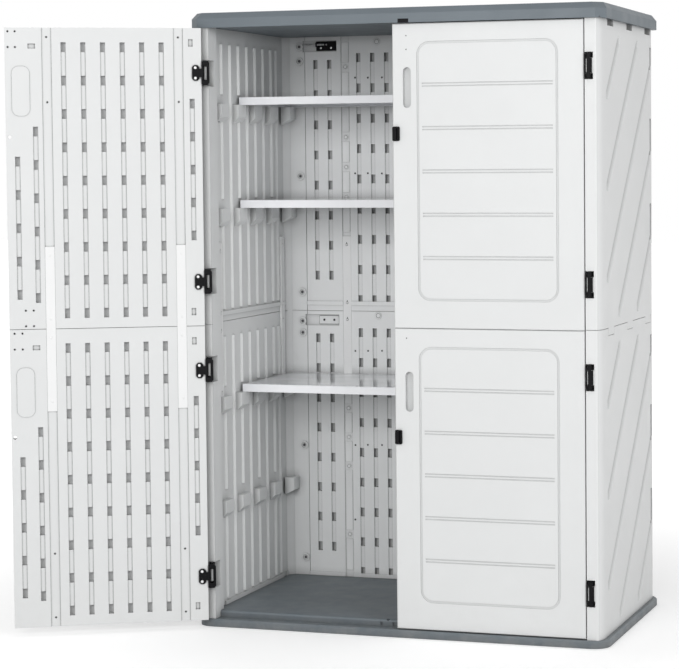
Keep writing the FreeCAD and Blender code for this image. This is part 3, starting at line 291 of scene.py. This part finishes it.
def facing(point, normal):
    """Where a pattern stands: its foot at a point in millimetres, its Z along the surface's normal."""
    upright = Vector(normal).to_track_quat("Z", "Y").to_matrix().to_4x4()
    return Matrix.Translation(Vector(point) / 1000) @ upright


MIRROR = Matrix.Diagonal((-1, 1, 1, 1))


def joined(*parts):
    """Parts of one moulding, joined as one mesh."""
    bpy.ops.object.select_all(action="DESELECT")
    for part in parts:
        part.select_set(True)
    bpy.context.view_layer.objects.active = parts[0]
    bpy.ops.object.join()
    return bpy.context.object


def set_out(pattern, name, places, body, slot, *materials):
    """Copies of a pattern, each with its own mesh, joined as one piece that rides on a body."""
    made = []
    for place in places:
        mesh = pattern.data.copy()
        mesh.transform(place)
        while len(mesh.materials) < len(materials):
            mesh.materials.append(None)
        for k, material in enumerate(materials):
            mesh.materials[k] = material
        if place.determinant() < 0:
            mesh.flip_normals()
        copy = bpy.data.objects.new(name, mesh)
        bpy.context.scene.collection.objects.link(copy)
        made.append(copy)
    piece = joined(*made)
    piece.name = name
    piece.data.name = name
    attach(piece, body)
    return piece


def put_away(*patterns):
    """Takes the patterns out of the scene once their copies are made."""
    for pattern in patterns:
        bpy.data.objects.remove(pattern)


def mark_picked(piece, number=1):
    """Gives the picked faces one of the piece's two materials, the second unless a number is given."""
    bpy.ops.object.mode_set(mode="OBJECT")
    while len(piece.data.materials) < 2:
        piece.data.materials.append(None)
    for face in piece.data.polygons:
        if face.select:
            face.material_index = number
    bpy.ops.object.mode_set(mode="EDIT")


def make_eyelet(radius, rim, rise):
    """A moulded eye: a low lip round a small blind hole, whose floor is painted dark as shade."""
    piece = start("cylinder", vertices=20, radius=radius, depth=rise, location=(0, 0, rise / 2))
    pick(piece, lambda face: face.normal.z > 0.9)
    bpy.ops.mesh.inset(thickness=rim * 0.5)
    bpy.ops.transform.translate(value=(0, 0, rise * 0.4))
    bpy.ops.mesh.inset(thickness=rim * 0.5)
    lift_picked(-rise * 1.1)
    # Painted shade: the hole's floor takes the dark second material.
    mark_picked(piece)
    return close(piece, 40)


def make_boss(radius, rise, eye, dark_button):
    """A round boss: a raised ring, a sunk floor, and a button. A dark button is a dark screw head; otherwise
    the sunk floor is painted dark as shade.
    """
    piece = start("cylinder", vertices=32, radius=radius, depth=rise, location=(0, 0, rise / 2))
    pick(piece, lambda face: face.normal.z > 0.9)
    bpy.ops.mesh.inset(thickness=radius * 0.14)
    bpy.ops.transform.translate(value=(0, 0, rise * 0.25))
    bpy.ops.mesh.inset(thickness=radius * 0.10)
    lift_picked(-rise)
    # Painted shade: without a dark button, the sunk floor takes the dark second material.
    if not dark_button:
        mark_picked(piece)
    bpy.ops.mesh.inset(thickness=radius * 0.76 - eye)
    mark_picked(piece, 1 if dark_button else 0)
    lift_picked(rise * 0.8)
    bpy.ops.mesh.inset(thickness=eye * 0.3)
    bpy.ops.transform.translate(value=(0, 0, rise * 0.2))
    return close(piece, 35)


def make_pad(width, height, rise, corner):
    """A flat pad with rounded corners, a painted dark ring of shade round its foot and a softened rim."""
    piece = start("cube", size=1.0, location=(0, 0, 0), scale=(width, height, rise))
    bpy.ops.mesh.select_all(action="SELECT")
    bpy.ops.transform.translate(value=(0, 0, rise / 2))
    close(piece)
    bpy.context.tool_settings.mesh_select_mode = (False, True, False)
    bpy.ops.object.mode_set(mode="EDIT")
    bpy.ops.mesh.select_all(action="DESELECT")
    bpy.ops.object.mode_set(mode="OBJECT")
    points = piece.data.vertices
    for edge in piece.data.edges:
        first, last = (points[k].co for k in edge.vertices)
        edge.select = abs(first.z - last.z) > rise / 2
    bpy.ops.object.mode_set(mode="EDIT")
    bpy.ops.mesh.bevel(offset=corner, segments=4)
    bpy.context.tool_settings.mesh_select_mode = (False, False, True)
    pick(piece, lambda face: face.normal.z > 0.9)
    # Painted shade: a thin ring at the pad's foot keeps the dark second material.
    mark_picked(piece)
    bpy.ops.mesh.inset(thickness=0.0012)
    pick(piece, lambda face: face.normal.z > 0.9 and face.area > width * height / 3)
    lift_picked(rise)
    bpy.ops.object.mode_set(mode="OBJECT")
    for face in piece.data.polygons:
        if face.center.z > rise * 1.01:
            face.material_index = 0
    bpy.ops.object.mode_set(mode="EDIT")
    bpy.ops.mesh.inset(thickness=rise * 1.2)
    bpy.ops.transform.translate(value=(0, 0, -rise * 0.5))
    return close(piece, 30)


# Black resin for the black parts. The floors of eyelets and keyholes also take it, as painted shade.
black_resin_and_pit_shade = moulded("black_resin_and_pit_shade", color=(0.005, 0.005, 0.006, 1), mottle=0.15, grain=0.0012, depth=0.0003,
                      rough=0.42, sheen_change=0.1, grime=0.4, line=0.3, dust=0.02, reach=0.1, film=0.01,
                      specular=0.1)
# Dark grey resin for the dark screw heads of the ring bosses, and painted shade in the gaps round the pads
# and on the small bosses' sunk floors.
gap_shade_and_screw = moulded("gap_shade_and_screw", color=(0.09, 0.09, 0.095, 1), mottle=0.2, grain=0.0018, depth=0.0003,
                     rough=0.6, sheen_change=0.1, grime=0.5, line=0.3, dust=0.08, reach=0.25, film=0.0)
eyelet = make_eyelet(radius=0.0036, rim=0.0008, rise=0.0005)
ring_boss = make_boss(radius=0.0125, rise=0.0034, eye=0.0044, dark_button=True)
small_boss = make_boss(radius=0.0078, rise=0.0016, eye=0.0050, dark_button=False)

INWARD = (0, -1, 0)  # the way the back wall faces
BACK_FACE = 300      # millimetres; its inner face
CHANNEL_FLOOR = 303  # floor of its strap channels
CHANNEL_X = 378      # middle of a strap channel, from the middle of the cabinet
PLATE_Y = 308        # floor of the recess for a fastener that isn't fitted
PLATE_Z = 866

upper_marks = [(344, 1637), (301, 1636), (254, 1636), (347, 1334), (304, 1334), (257, 1333)]
lower_marks = [(352, 768), (309, 769), (262, 770), (355, 466), (313, 468), (265, 469), (358, 226)]
for half, marks in (("upper", upper_marks), ("lower", lower_marks)):
    places = [facing((x, BACK_FACE, z), INWARD) for x, z in marks]
    places += [MIRROR @ place for place in places]
    set_out(eyelet, "back_marks_" + half, places, "cabinet", "white_plastic", pale_resin, black_resin_and_pit_shade)

return_bosses = [(532, 1738), (532, 1692), (532, 1326), (530, 955), (530, 862), (530, 825), (529, 462),
                 (528, 98)]
places = [facing((x, BACK_FACE, z), INWARD) for x, z in return_bosses]
places += [MIRROR @ place for place in places]
set_out(ring_boss, "wall_bosses", places, "cabinet", "white_plastic", pale_resin, gap_shade_and_screw)

channel_bosses = [1672, 1449, 1354, 1259, 584, 491, 398, 178]
places = [facing((CHANNEL_X, CHANNEL_FLOOR, z), INWARD) for z in channel_bosses]
places += [facing((x, BACK_FACE, z), INWARD) @ Matrix.Scale(1.3, 4) for x, z in ((270, 1749), (273, 882))]
places += [MIRROR @ place for place in places]
set_out(small_boss, "channel_bosses", places, "cabinet", "white_plastic", pale_resin, gap_shade_and_screw)

channel_pads = [(1685, 1750), (1465, 1655), (1369, 1436), (1273, 1340), (1146, 1246), (597, 650), (504, 571),
                (411, 478), (191, 385), (62, 165)]
pads = []
for low, high in channel_pads:
    pad = make_pad(width=0.0240, height=(high - low) / 1000, rise=0.0008, corner=0.004)
    pad.data.transform(facing((CHANNEL_X, CHANNEL_FLOOR, (low + high) / 2), INWARD))
    pads.append(pad)
row_of_pads = joined(*pads)
set_out(row_of_pads, "channel_pads", [Matrix.Identity(4), MIRROR], "cabinet", "white_plastic", pale_resin,
        gap_shade_and_screw)

spare_plate = make_pad(width=0.068, height=0.028, rise=0.0010, corner=0.003)
places = [facing((442, PLATE_Y, PLATE_Z), INWARD)]
set_out(spare_plate, "spare_fastener_plates", places + [MIRROR @ places[0]], "cabinet", "white_plastic",
        pale_resin, gap_shade_and_screw)
places = [facing((x, PLATE_Y - 1.6, PLATE_Z), INWARD) @ Matrix.Scale(1.25, 4) for x in (459, 425)]
places += [MIRROR @ place for place in places]
set_out(eyelet, "spare_fastener_holes", places, "cabinet", "white_plastic", pale_resin, black_resin_and_pit_shade)
put_away(row_of_pads, spare_plate, ring_boss, small_boss)


# Straps over the wall joints.
# Steel straps with a smooth white coat, screwed across the joint between the
# lower and upper mouldings. Those of the side walls have turned edges.

def make_coat_wear():
    """A coat on steel: faint ripple, and small chips where the metal shows."""
    tree, takes, gives = shader_group(
        "coat_wear",
        [("Coat", "NodeSocketColor", (0.8, 0.8, 0.8, 1)), ("Metal", "NodeSocketColor", (0.3, 0.3, 0.3, 1)),
         ("Chips", "NodeSocketFloat", 0.02), ("Chip Size", "NodeSocketFloat", 0.006),
         ("Roughness", "NodeSocketFloat", 0.35)],
        [("Color", "NodeSocketColor"), ("Roughness", "NodeSocketFloat"), ("Height", "NodeSocketFloat")])
    where = add_node(tree, "TexCoord").outputs["Object"]
    fine = add_node(tree, "Math", {"operation": "DIVIDE"}, i0=1.0, i1=takes.outputs["Chip Size"])
    marks = add_node(tree, "TexNoise", None, Vector=where, Scale=fine.outputs[0], Detail=3.0)
    edge = add_node(tree, "Math", {"operation": "SUBTRACT"}, i0=0.78, i1=takes.outputs["Chips"])
    over = add_node(tree, "Math", {"operation": "SUBTRACT"}, i0=marks.outputs["Fac"], i1=edge.outputs[0])
    chip = spread(tree, over.outputs[0], 0.0, 0.02, 0.0, 1.0)
    ripple = add_node(tree, "TexNoise", None, Vector=where, Scale=9.0, Detail=2.0)
    tone = spread(tree, ripple.outputs["Fac"], 0.3, 0.7, 0.985, 1.0)
    coat = add_node(tree, "VectorMath", {"operation": "SCALE"}, i0=takes.outputs["Coat"], Scale=tone)
    mixed = add_node(tree, "Mix", {"data_type": "RGBA"}, i0=chip, i6=coat.outputs[0],
                     i7=takes.outputs["Metal"])
    uneven = spread(tree, ripple.outputs["Fac"], 0.3, 0.7, -0.03, 0.03)
    rough = add_node(tree, "Math", {"operation": "ADD"}, i0=uneven, i1=takes.outputs["Roughness"])
    tree.links.new(mixed.outputs[2], gives.inputs["Color"])
    tree.links.new(rough.outputs[0], gives.inputs["Roughness"])
    peel = add_node(tree, "TexNoise", None, Vector=where, Scale=420.0, Detail=1.0)
    tree.links.new(peel.outputs["Fac"], gives.inputs["Height"])
    return tree


coat_wear = make_coat_wear()


def coated(name, coat, metal, chips, size, rough, gloss, specular=0.5):
    """Coated steel, with the wear from the group and a plain clear gloss on the shader."""
    material = bpy.data.materials.new(name)
    material.use_nodes = True
    tree = material.node_tree
    skin = tree.nodes["Principled BSDF"]
    wear = add_node(tree, "Group", {"node_tree": coat_wear}, Coat=coat, Metal=metal, Chips=chips,
                    Chip_Size=size, Roughness=rough)
    bump = add_node(tree, "Bump", None, Strength=0.1, Distance=0.0001, Height=wear.outputs["Height"])
    tree.links.new(wear.outputs["Color"], skin.inputs["Base Color"])
    tree.links.new(wear.outputs["Roughness"], skin.inputs["Roughness"])
    tree.links.new(bump.outputs["Normal"], skin.inputs["Normal"])
    skin.inputs["Coat Weight"].default_value = gloss
    skin.inputs["Coat Roughness"].default_value = 0.05
    skin.inputs["Specular IOR Level"].default_value = specular
    return material


strap_coat = coated("strap_coat", coat=(0.90, 0.905, 0.905, 1), metal=(0.45, 0.45, 0.45, 1), chips=0.0,
                    size=0.006, rough=0.34, gloss=0.15)
finish_nodes(strap_coat, "back_straps", "left_door_straps", "right_door_straps")


def make_wall_strap(width, height, depth):
    """A strap with its long edges turned back to the wall, and a shallow swage down its face."""
    piece = start("cube", size=1.0, scale=(width, height, depth), location=(0, 0, depth / 2))
    close(piece)
    soften = piece.modifiers.new("turned_edges", "BEVEL")
    soften.width = 0.0013
    soften.segments = 3
    apply_all(piece)
    bpy.ops.object.mode_set(mode="EDIT")
    pick(piece, lambda face: face.normal.z > 0.9 and face.area > width * height / 2)
    bpy.ops.mesh.inset(thickness=0.0035)
    bpy.ops.mesh.inset(thickness=0.0012)
    bpy.ops.transform.translate(value=(0, 0, -0.0008))
    return close(piece, 30)


def make_keyhole(radius, rise):
    """A punched keyhole: a round hole that narrows upwards, with a pressed rim and its floor painted dark as
    shade.
    """
    piece = start("cylinder", vertices=24, radius=radius, depth=rise, location=(0, 0, rise / 2))
    pick(piece, lambda face: face.normal.y > 0.25)
    bpy.ops.transform.translate(value=(0, radius * 0.9, 0))
    bpy.ops.transform.resize(value=(0.45, 1, 1), center_override=(0, 0, 0))
    pick(piece, lambda face: face.normal.z > 0.9)
    bpy.ops.mesh.inset(thickness=radius * 0.16)
    lift_picked(-rise * 0.8)
    # Painted shade: the hole's floor takes the dark second material.
    mark_picked(piece)
    return close(piece, 30)


def make_screw(radius, rise):
    """A pan-head screw: a domed head with a cross recess."""
    head = start("cylinder", vertices=24, radius=radius, depth=rise, location=(0, 0, rise / 2))
    pick(head, lambda face: face.normal.z > 0.9)
    bpy.ops.mesh.inset(thickness=radius * 0.22)
    bpy.ops.transform.translate(value=(0, 0, rise * 0.25))
    bpy.ops.mesh.inset(thickness=radius * 0.3)
    bpy.ops.transform.translate(value=(0, 0, rise * 0.1))
    close(head, 50)
    cross = start("cube", size=1.0, scale=(radius * 1.15, radius * 0.26, rise), location=(0, 0, rise * 1.25))
    bpy.ops.mesh.select_all(action="SELECT")
    bpy.ops.mesh.duplicate()
    bpy.ops.transform.rotate(value=math.radians(90), orient_axis="Z", center_override=(0, 0, 0))
    close(cross)
    recess = head.modifiers.new("cross_recess", "BOOLEAN")
    recess.operation = "DIFFERENCE"
    recess.object = cross
    recess.use_self = True
    apply_all(head)
    put_away(cross)
    return head


PIN_X = 0.577     # metres; the hinge pins' place, which the leaves swing about
PIN_Y = -0.338
OPEN_ANGLE = 152  # degrees that the left leaf stands open
OPEN_LEFT = (Matrix.Translation((-PIN_X, PIN_Y, 0)) @ Matrix.Rotation(math.radians(-OPEN_ANGLE), 4, "Z")
             @ Matrix.Translation((PIN_X, -PIN_Y, 0)) @ MIRROR)

WALL_FACE = 585      # millimetres; inner face of a side wall
WALL_STRAP_Y = (-243, 252)
WALL_SEAM = 895
SWAGE_FACE = WALL_FACE - 6.2
LEAF_INNER = -308    # inner face of a leaf, the strap channel's floor in it, and its outer face
LEAF_CHANNEL = -311
LEAF_OUTER = -340
LEAF_STRAP_X = (120, 496.5)
strap_heights = (683, 868, 922, 1107)
wall_strap = make_wall_strap(width=0.027, height=0.478, depth=0.007)
keyhole = make_keyhole(radius=0.0048, rise=0.0006)
screw = make_screw(radius=0.0038, rise=0.0016)
for side, mirror in (("right", Matrix.Identity(4)), ("left", MIRROR)):
    places = [mirror @ facing((WALL_FACE, y, WALL_SEAM), (-1, 0, 0)) for y in WALL_STRAP_Y]
    strap = set_out(wall_strap, side + "_folded_straps", places, "cabinet", "white_steel", strap_coat)
    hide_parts(side + "_wall_straps")
    places = [mirror @ facing((SWAGE_FACE, y, z), (-1, 0, 0)) for y in WALL_STRAP_Y for z in strap_heights]
    set_out(keyhole, side + "_strap_keyholes", places, "cabinet", "white_steel", strap_coat, black_resin_and_pit_shade)
    set_out(screw, side + "_strap_screws", [place @ Matrix.Scale(0.8, 4) for place in places], "cabinet",
            "bright_steel", strap_coat)
    place_leaf = OPEN_LEFT if side == "left" else Matrix.Identity(4)
    places = [place_leaf @ facing((x, LEAF_INNER, z), (0, 1, 0)) for x in LEAF_STRAP_X for z in strap_heights]
    set_out(screw, side + "_leaf_strap_screws", places, side + "_door", "bright_steel", strap_coat)
places = [facing((CHANNEL_X, BACK_FACE, z), INWARD) for z in strap_heights]
places += [MIRROR @ place for place in places]
set_out(keyhole, "back_strap_keyholes", places, "cabinet", "white_steel", strap_coat, black_resin_and_pit_shade)
set_out(screw, "back_strap_screws", [place @ Matrix.Scale(0.75, 4) for place in places], "cabinet",
        "bright_steel", strap_coat)
put_away(wall_strap, keyhole)


# Shelves.
# Folded steel sheets with a glossy white coat. Each lies loose on the support
# blocks of the side walls, and lifts out.

shelf_coat = coated("shelf_coat", coat=(0.94, 0.95, 0.975, 1), metal=(0.45, 0.45, 0.46, 1), chips=0.0,
                    size=0.008, rough=0.22, gloss=0.8)
finish_nodes(shelf_coat, "shelf_lower", "shelf_middle", "shelf_upper")


# Doors.
# Each leaf is two blow-moulded halves: a dull grained face outside, and rows
# of dimples inside, where the two skins meet.

def make_leaf_faces():
    """Painted shade in fine grooves: little on a leaf's outer skin, much on its inner one."""
    tree, takes, gives = shader_group(
        "leaf_faces",
        [("Outward", "NodeSocketVector", (0, -1, 0)), ("Pin", "NodeSocketVector", (0.577, -0.338, 0)),
         ("Outer Line", "NodeSocketFloat", 0.14), ("Inner Line", "NodeSocketFloat", 0.95)],
        [("Line", "NodeSocketFloat")])
    where = add_node(tree, "TexCoord").outputs["Object"]
    arm = add_node(tree, "VectorMath", {"operation": "SUBTRACT"}, i0=where, i1=takes.outputs["Pin"])
    proud = add_node(tree, "VectorMath", {"operation": "DOT_PRODUCT"}, i0=arm.outputs[0],
                     i1=takes.outputs["Outward"])
    line = spread(tree, proud.outputs["Value"], -0.016, -0.012, takes.outputs["Inner Line"],
                  takes.outputs["Outer Line"])
    tree.links.new(line, gives.inputs["Line"])
    return tree


leaf_faces = make_leaf_faces()


def leaf_finish(name, place_leaf, pin):
    """The resin of one leaf, which knows its outer skin from its inner one and paints more shade into the
    inner one's fine grooves.
    """
    material = moulded(name, color=(0.77, 0.78, 0.78, 1), mottle=0.012, grain=0.0018, depth=0.0003,
                       rough=0.48, sheen_change=0.10, grime=0.30, line=0.14, dust=0.08, reach=0.25, film=0.02)
    tree = material.node_tree
    outward = tuple(place_leaf.to_3x3() @ Vector((0, -1, 0)))
    faces = add_node(tree, "Group", {"node_tree": leaf_faces}, Outward=outward, Pin=pin)
    body = next(made for made in tree.nodes if getattr(made, "node_tree", None) == grain_and_shade)
    tree.links.new(faces.outputs["Line"], body.inputs["Line"])
    return material


leaf_resin = leaf_finish("right_leaf_resin", Matrix.Identity(4), (PIN_X, PIN_Y, 0))
left_leaf_resin = leaf_finish("left_leaf_resin", OPEN_LEFT, (-PIN_X, PIN_Y, 0))
finish_nodes(leaf_resin, "right_door_lower", "right_door_upper")
finish_nodes(left_leaf_resin, "left_door_lower", "left_door_upper")

LEAF_EDGE = 1.5  # millimetres; a leaf's free edge, its top, and the seam of its halves
LEAF_TOP = 1762
LEAF_SEAM = 893
top_eyes = [(LEAF_EDGE + x, LEAF_TOP - z) for x, z in ((9.5, 11), (30, 11), (9.5, 56), (30, 56))]
joint_eyes = [(LEAF_EDGE + x, LEAF_SEAM + z) for x, z in ((47.5, 55), (70, 55), (47.5, 10), (70, 10))]
below_eyes = [(LEAF_EDGE + x, LEAF_SEAM - z) for x, z in ((14.5, 11), (37, 11), (14.5, 57), (37, 57))]
channel_eyes = [(x, z) for x in LEAF_STRAP_X for z in (1735, 1548, 51, 238)]
outer_eyes = [(44, 1727), (44, 1688), (38, 865)]
for side, place_leaf in (("right", Matrix.Identity(4)), ("left", OPEN_LEFT)):
    inner = [facing((x, LEAF_INNER, z), (0, 1, 0)) for x, z in top_eyes + joint_eyes + below_eyes]
    inner += [facing((x, LEAF_CHANNEL, z), (0, 1, 0)) for x, z in channel_eyes]
    outer = [facing((x, LEAF_OUTER, z), (0, -1, 0)) @ Matrix.Scale(0.6, 4) for x, z in outer_eyes]
    places = [place_leaf @ place for place in inner + outer]
    set_out(eyelet, side + "_leaf_eyes", places, side + "_door", "white_plastic", leaf_resin, black_resin_and_pit_shade)
put_away(eyelet)


# Hinges and fasteners.
# Pressed steel brackets with a satin black coat, zinc-plated pins, and black
# resin caps, latches and bolt housings.

black_coat = coated("black_coat", coat=(0.005, 0.005, 0.006, 1), metal=(0.25, 0.25, 0.25, 1), chips=0.03,
                    size=0.004, rough=0.42, gloss=0.0, specular=0.1)
finish_nodes(black_coat, "right_hinge_brackets", "left_hinge_brackets", "right_corner_fastener",
             "left_corner_fastener")


def make_zinc():
    """Zinc-plated steel: a pale metal with drawn lines along it and a faint bloom."""
    material = bpy.data.materials.new("zinc_plate")
    material.use_nodes = True
    tree = material.node_tree
    skin = tree.nodes["Principled BSDF"]
    where = add_node(tree, "TexCoord").outputs["Object"]
    drawn = add_node(tree, "Mapping", None, Vector=where, Scale=(900.0, 900.0, 60.0))
    lines = add_node(tree, "TexNoise", None, Vector=drawn.outputs[0], Scale=1.0, Detail=2.0)
    bloom = add_node(tree, "TexNoise", None, Vector=where, Scale=140.0, Detail=3.0)
    tone = spread(tree, bloom.outputs["Fac"], 0.3, 0.7, 0.62, 0.80)
    color = add_node(tree, "CombineColor", None, Red=tone, Green=tone, Blue=tone)
    rough = spread(tree, lines.outputs["Fac"], 0.3, 0.7, 0.24, 0.42)
    tree.links.new(color.outputs[0], skin.inputs["Base Color"])
    tree.links.new(rough, skin.inputs["Roughness"])
    skin.inputs["Metallic"].default_value = 1.0
    return material


zinc = make_zinc()


def make_arc(inner, outer, low, high, first, last, steps):
    """A piece of tube wall round Z, between two angles and two heights."""
    upright = (math.radians(90), 0, 0)
    piece = start("plane", size=1.0, scale=(outer - inner, high - low, 1), rotation=upright,
                  location=((inner + outer) / 2, 0, (low + high) / 2))
    bpy.ops.mesh.select_all(action="SELECT")
    bpy.ops.mesh.spin(steps=steps, angle=math.radians(last - first), center=(0, 0, 0), axis=(0, 0, 1))
    bpy.ops.mesh.select_all(action="SELECT")
    bpy.ops.mesh.remove_doubles(threshold=0.000001)
    bpy.ops.mesh.normals_make_consistent(inside=False)
    close(piece, 30)
    ends = [math.degrees(math.atan2(v.co.y, v.co.x)) for v in piece.data.vertices]
    turn = first if max(ends) > 1 else last
    piece.data.transform(Matrix.Rotation(math.radians(turn), 4, "Z"))
    return piece


# Sizes are in metres from the pin. Angles go round it: -90 is the front.
CAP_IN = 0.0086
CAP_OUT = 0.0100
CAP_END = 0.0206       # half height of the cap, and of the window in it
WINDOW_END = 0.0190
window_cap = joined(make_arc(CAP_IN, CAP_OUT, -CAP_END, CAP_END, -174, -136, 5),
                    make_arc(CAP_IN, CAP_OUT, -CAP_END, CAP_END, -85, -6, 10),
                    make_arc(CAP_IN, CAP_OUT, -CAP_END, -WINDOW_END, -137, -84, 7),
                    make_arc(CAP_IN, CAP_OUT, WINDOW_END, CAP_END, -137, -84, 7))
COVER_IN = 0.0102
COVER_OUT = 0.0114
COVER_END = 0.0330     # half height of the cover; its end plates stand a little past it
END_PLATE_IN = 0.0080
END_PLATE_OUT = 0.0112
END_PLATE_LOW = 0.0300
END_PLATE_HIGH = 0.0335
leaf_cover = joined(make_arc(COVER_IN, COVER_OUT, -COVER_END, COVER_END, -106, -58, 8),
                    make_arc(END_PLATE_IN, END_PLATE_OUT, -END_PLATE_HIGH, -END_PLATE_LOW, -105, -59, 6),
                    make_arc(END_PLATE_IN, END_PLATE_OUT, END_PLATE_LOW, END_PLATE_HIGH, -105, -59, 6))
hinge_heights = (154, 763, 1023, 1632)
BRACKET_HOLE_X = 545   # millimetres; the bracket's two holes, and the face they are in
BRACKET_FACE = -304.5
FASTENER_FACE = 304    # face of the corner fastener, and the height of its screws
FASTENER_SCREW_Z = 1733
plate_screw = make_screw(radius=0.0040, rise=0.0014)
for side in ("right", "left"):
    mirror = MIRROR if side == "left" else Matrix.Identity(4)
    place_leaf = OPEN_LEFT if side == "left" else Matrix.Identity(4)
    at_pin = [Matrix.Translation((PIN_X, PIN_Y, z / 1000)) for z in hinge_heights]
    cap = set_out(window_cap, side + "_window_caps", [mirror @ place for place in at_pin], "cabinet",
                  "black_plastic", black_resin_and_pit_shade)
    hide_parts(side + "_hinge_caps")
    set_out(leaf_cover, side + "_hinge_covers", [place_leaf @ place for place in at_pin], side + "_door",
            "black_steel", black_coat)
    places = [facing((BRACKET_HOLE_X, BRACKET_FACE, z + step), (0, 1, 0))
              for z in hinge_heights for step in (-15, 15)]
    set_out(plate_screw, side + "_hinge_screws", [place_leaf @ place for place in places], side + "_door",
            "bright_steel", strap_coat)

places = [facing((x, FASTENER_FACE, FASTENER_SCREW_Z), INWARD) @ Matrix.Scale(0.9, 4) for x in (460, 426)]
places += [MIRROR @ place for place in places]
set_out(screw, "fastener_screws", places, "cabinet", "bright_steel", zinc)
put_away(window_cap, leaf_cover, plate_screw, screw)

finish_nodes(black_resin_and_pit_shade, "upper_latch", "lower_latch", "upper_latch_retainer", "lower_latch_retainer",
             "top_bolt_housing", "bottom_bolt_housing", "roof_keeper")
finish_nodes(zinc, "right_hinge_pins", "left_hinge_pins", "right_fastener_pin", "left_fastener_pin",
             "top_bolt", "bottom_bolt")


# Roof.
# One moulding of the same slate resin as the tray, with a bevelled fascia and
# cut corners. It is pressed down over the tops of the walls.

finish_nodes(slate_resin, "roof")


# Floor, light and camera.
# A pale studio floor that runs to white, soft lamps, and the camera of the
# photograph.

def make_floor():
    """A wide pale floor, which a camera or a mirror sees fade to white round the object."""
    bpy.ops.object.select_all(action="DESELECT")
    bpy.ops.mesh.primitive_plane_add(size=60.0, location=(0, 0, -0.001))
    floor = bpy.context.object
    floor.name = "studio_floor"
    material = bpy.data.materials.new("studio_floor")
    material.use_nodes = True
    tree = material.node_tree
    skin = tree.nodes["Principled BSDF"]
    where = add_node(tree, "TexCoord").outputs["Object"]
    cloud = add_node(tree, "TexNoise", None, Vector=where, Scale=0.6, Detail=2.0)
    tone = spread(tree, cloud.outputs["Fac"], 0.3, 0.7, 0.79, 0.81)
    color = add_node(tree, "CombineColor", None, Red=tone, Green=tone, Blue=tone)
    tree.links.new(color.outputs[0], skin.inputs["Base Color"])
    skin.inputs["Roughness"].default_value = 0.9
    skin.inputs["Specular IOR Level"].default_value = 0.1
    paths = add_node(tree, "LightPath")
    seen = add_node(tree, "Math", {"operation": "MAXIMUM"}, i0=paths.outputs["Is Camera Ray"],
                    i1=paths.outputs["Is Glossy Ray"])
    far = add_node(tree, "VectorMath", {"operation": "LENGTH"}, i0=where)
    fade = spread(tree, far.outputs["Value"], 0.8, 3.5, 0.40, 0.95)
    glow = add_node(tree, "Math", {"operation": "MULTIPLY"}, i0=seen.outputs[0], i1=fade)
    skin.inputs["Emission Color"].default_value = (1, 1, 1, 1)
    tree.links.new(glow.outputs[0], skin.inputs["Emission Strength"])
    floor.data.materials.append(material)


make_floor()


def add_lamp(name, place, aim, size, power):
    """A soft rectangular lamp, aimed at a point."""
    data = bpy.data.lights.new(name, "AREA")
    data.shape = "RECTANGLE"
    data.size = size[0]
    data.size_y = size[1]
    data.energy = power
    lamp = bpy.data.objects.new(name, data)
    bpy.context.scene.collection.objects.link(lamp)
    lamp.location = place
    lamp.rotation_euler = (Vector(aim) - Vector(place)).to_track_quat("-Z", "Y").to_euler()


middle = (0, 0, 0.9)
add_lamp("front_lamp", place=(0.1, -7.0, 2.6), aim=middle, size=(3.4, 2.6), power=170)
add_lamp("right_lamp", place=(5.2, -3.9, 2.6), aim=middle, size=(2.6, 2.6), power=108)

world = bpy.data.worlds.new("studio")
bpy.context.scene.world = world
world.use_nodes = True
sky = world.node_tree
back = sky.nodes["Background"]
rays = add_node(sky, "LightPath")
seen = add_node(sky, "Math", {"operation": "MAXIMUM"}, i0=rays.outputs["Is Camera Ray"],
                i1=rays.outputs["Is Glossy Ray"])
strength = spread(sky, seen.outputs[0], 0.0, 1.0, 0.44, 1.0)
sky.links.new(strength, back.inputs["Strength"])
back.inputs["Color"].default_value = (1, 1, 1, 1)

PHOTO_WIDTH = 679     # pixels
FOCAL_LENGTH = 2227.4
SHIFT_RIGHT = -120.0
SHIFT_UP = -55.0
SENSOR = 36.0         # millimetres, Blender's own width
CAMERA_PLACE = (2.0829, -6.3613, 1.3665)
yaw = math.radians(17.382)
pitch = math.radians(3.012)
roll = math.radians(-0.43)
forward = Vector((-math.sin(yaw) * math.cos(pitch), math.cos(yaw) * math.cos(pitch), -math.sin(pitch)))
level = Vector((math.cos(yaw), math.sin(yaw), 0))
upward = level.cross(forward)
right = math.cos(roll) * level + math.sin(roll) * upward
top = math.cos(roll) * upward - math.sin(roll) * level
camera_data = bpy.data.cameras.new("photo_camera")
camera_data.lens = SENSOR * FOCAL_LENGTH / PHOTO_WIDTH
camera_data.shift_x = SHIFT_RIGHT / PHOTO_WIDTH
camera_data.shift_y = SHIFT_UP / PHOTO_WIDTH
camera = bpy.data.objects.new("photo_camera", camera_data)
bpy.context.scene.collection.objects.link(camera)
turned = Matrix((right, top, -forward)).transposed().to_4x4()
camera.matrix_world = Matrix.Translation(CAMERA_PLACE) @ turned
bpy.context.scene.camera = camera
bpy.context.scene.view_settings.view_transform = "Standard"
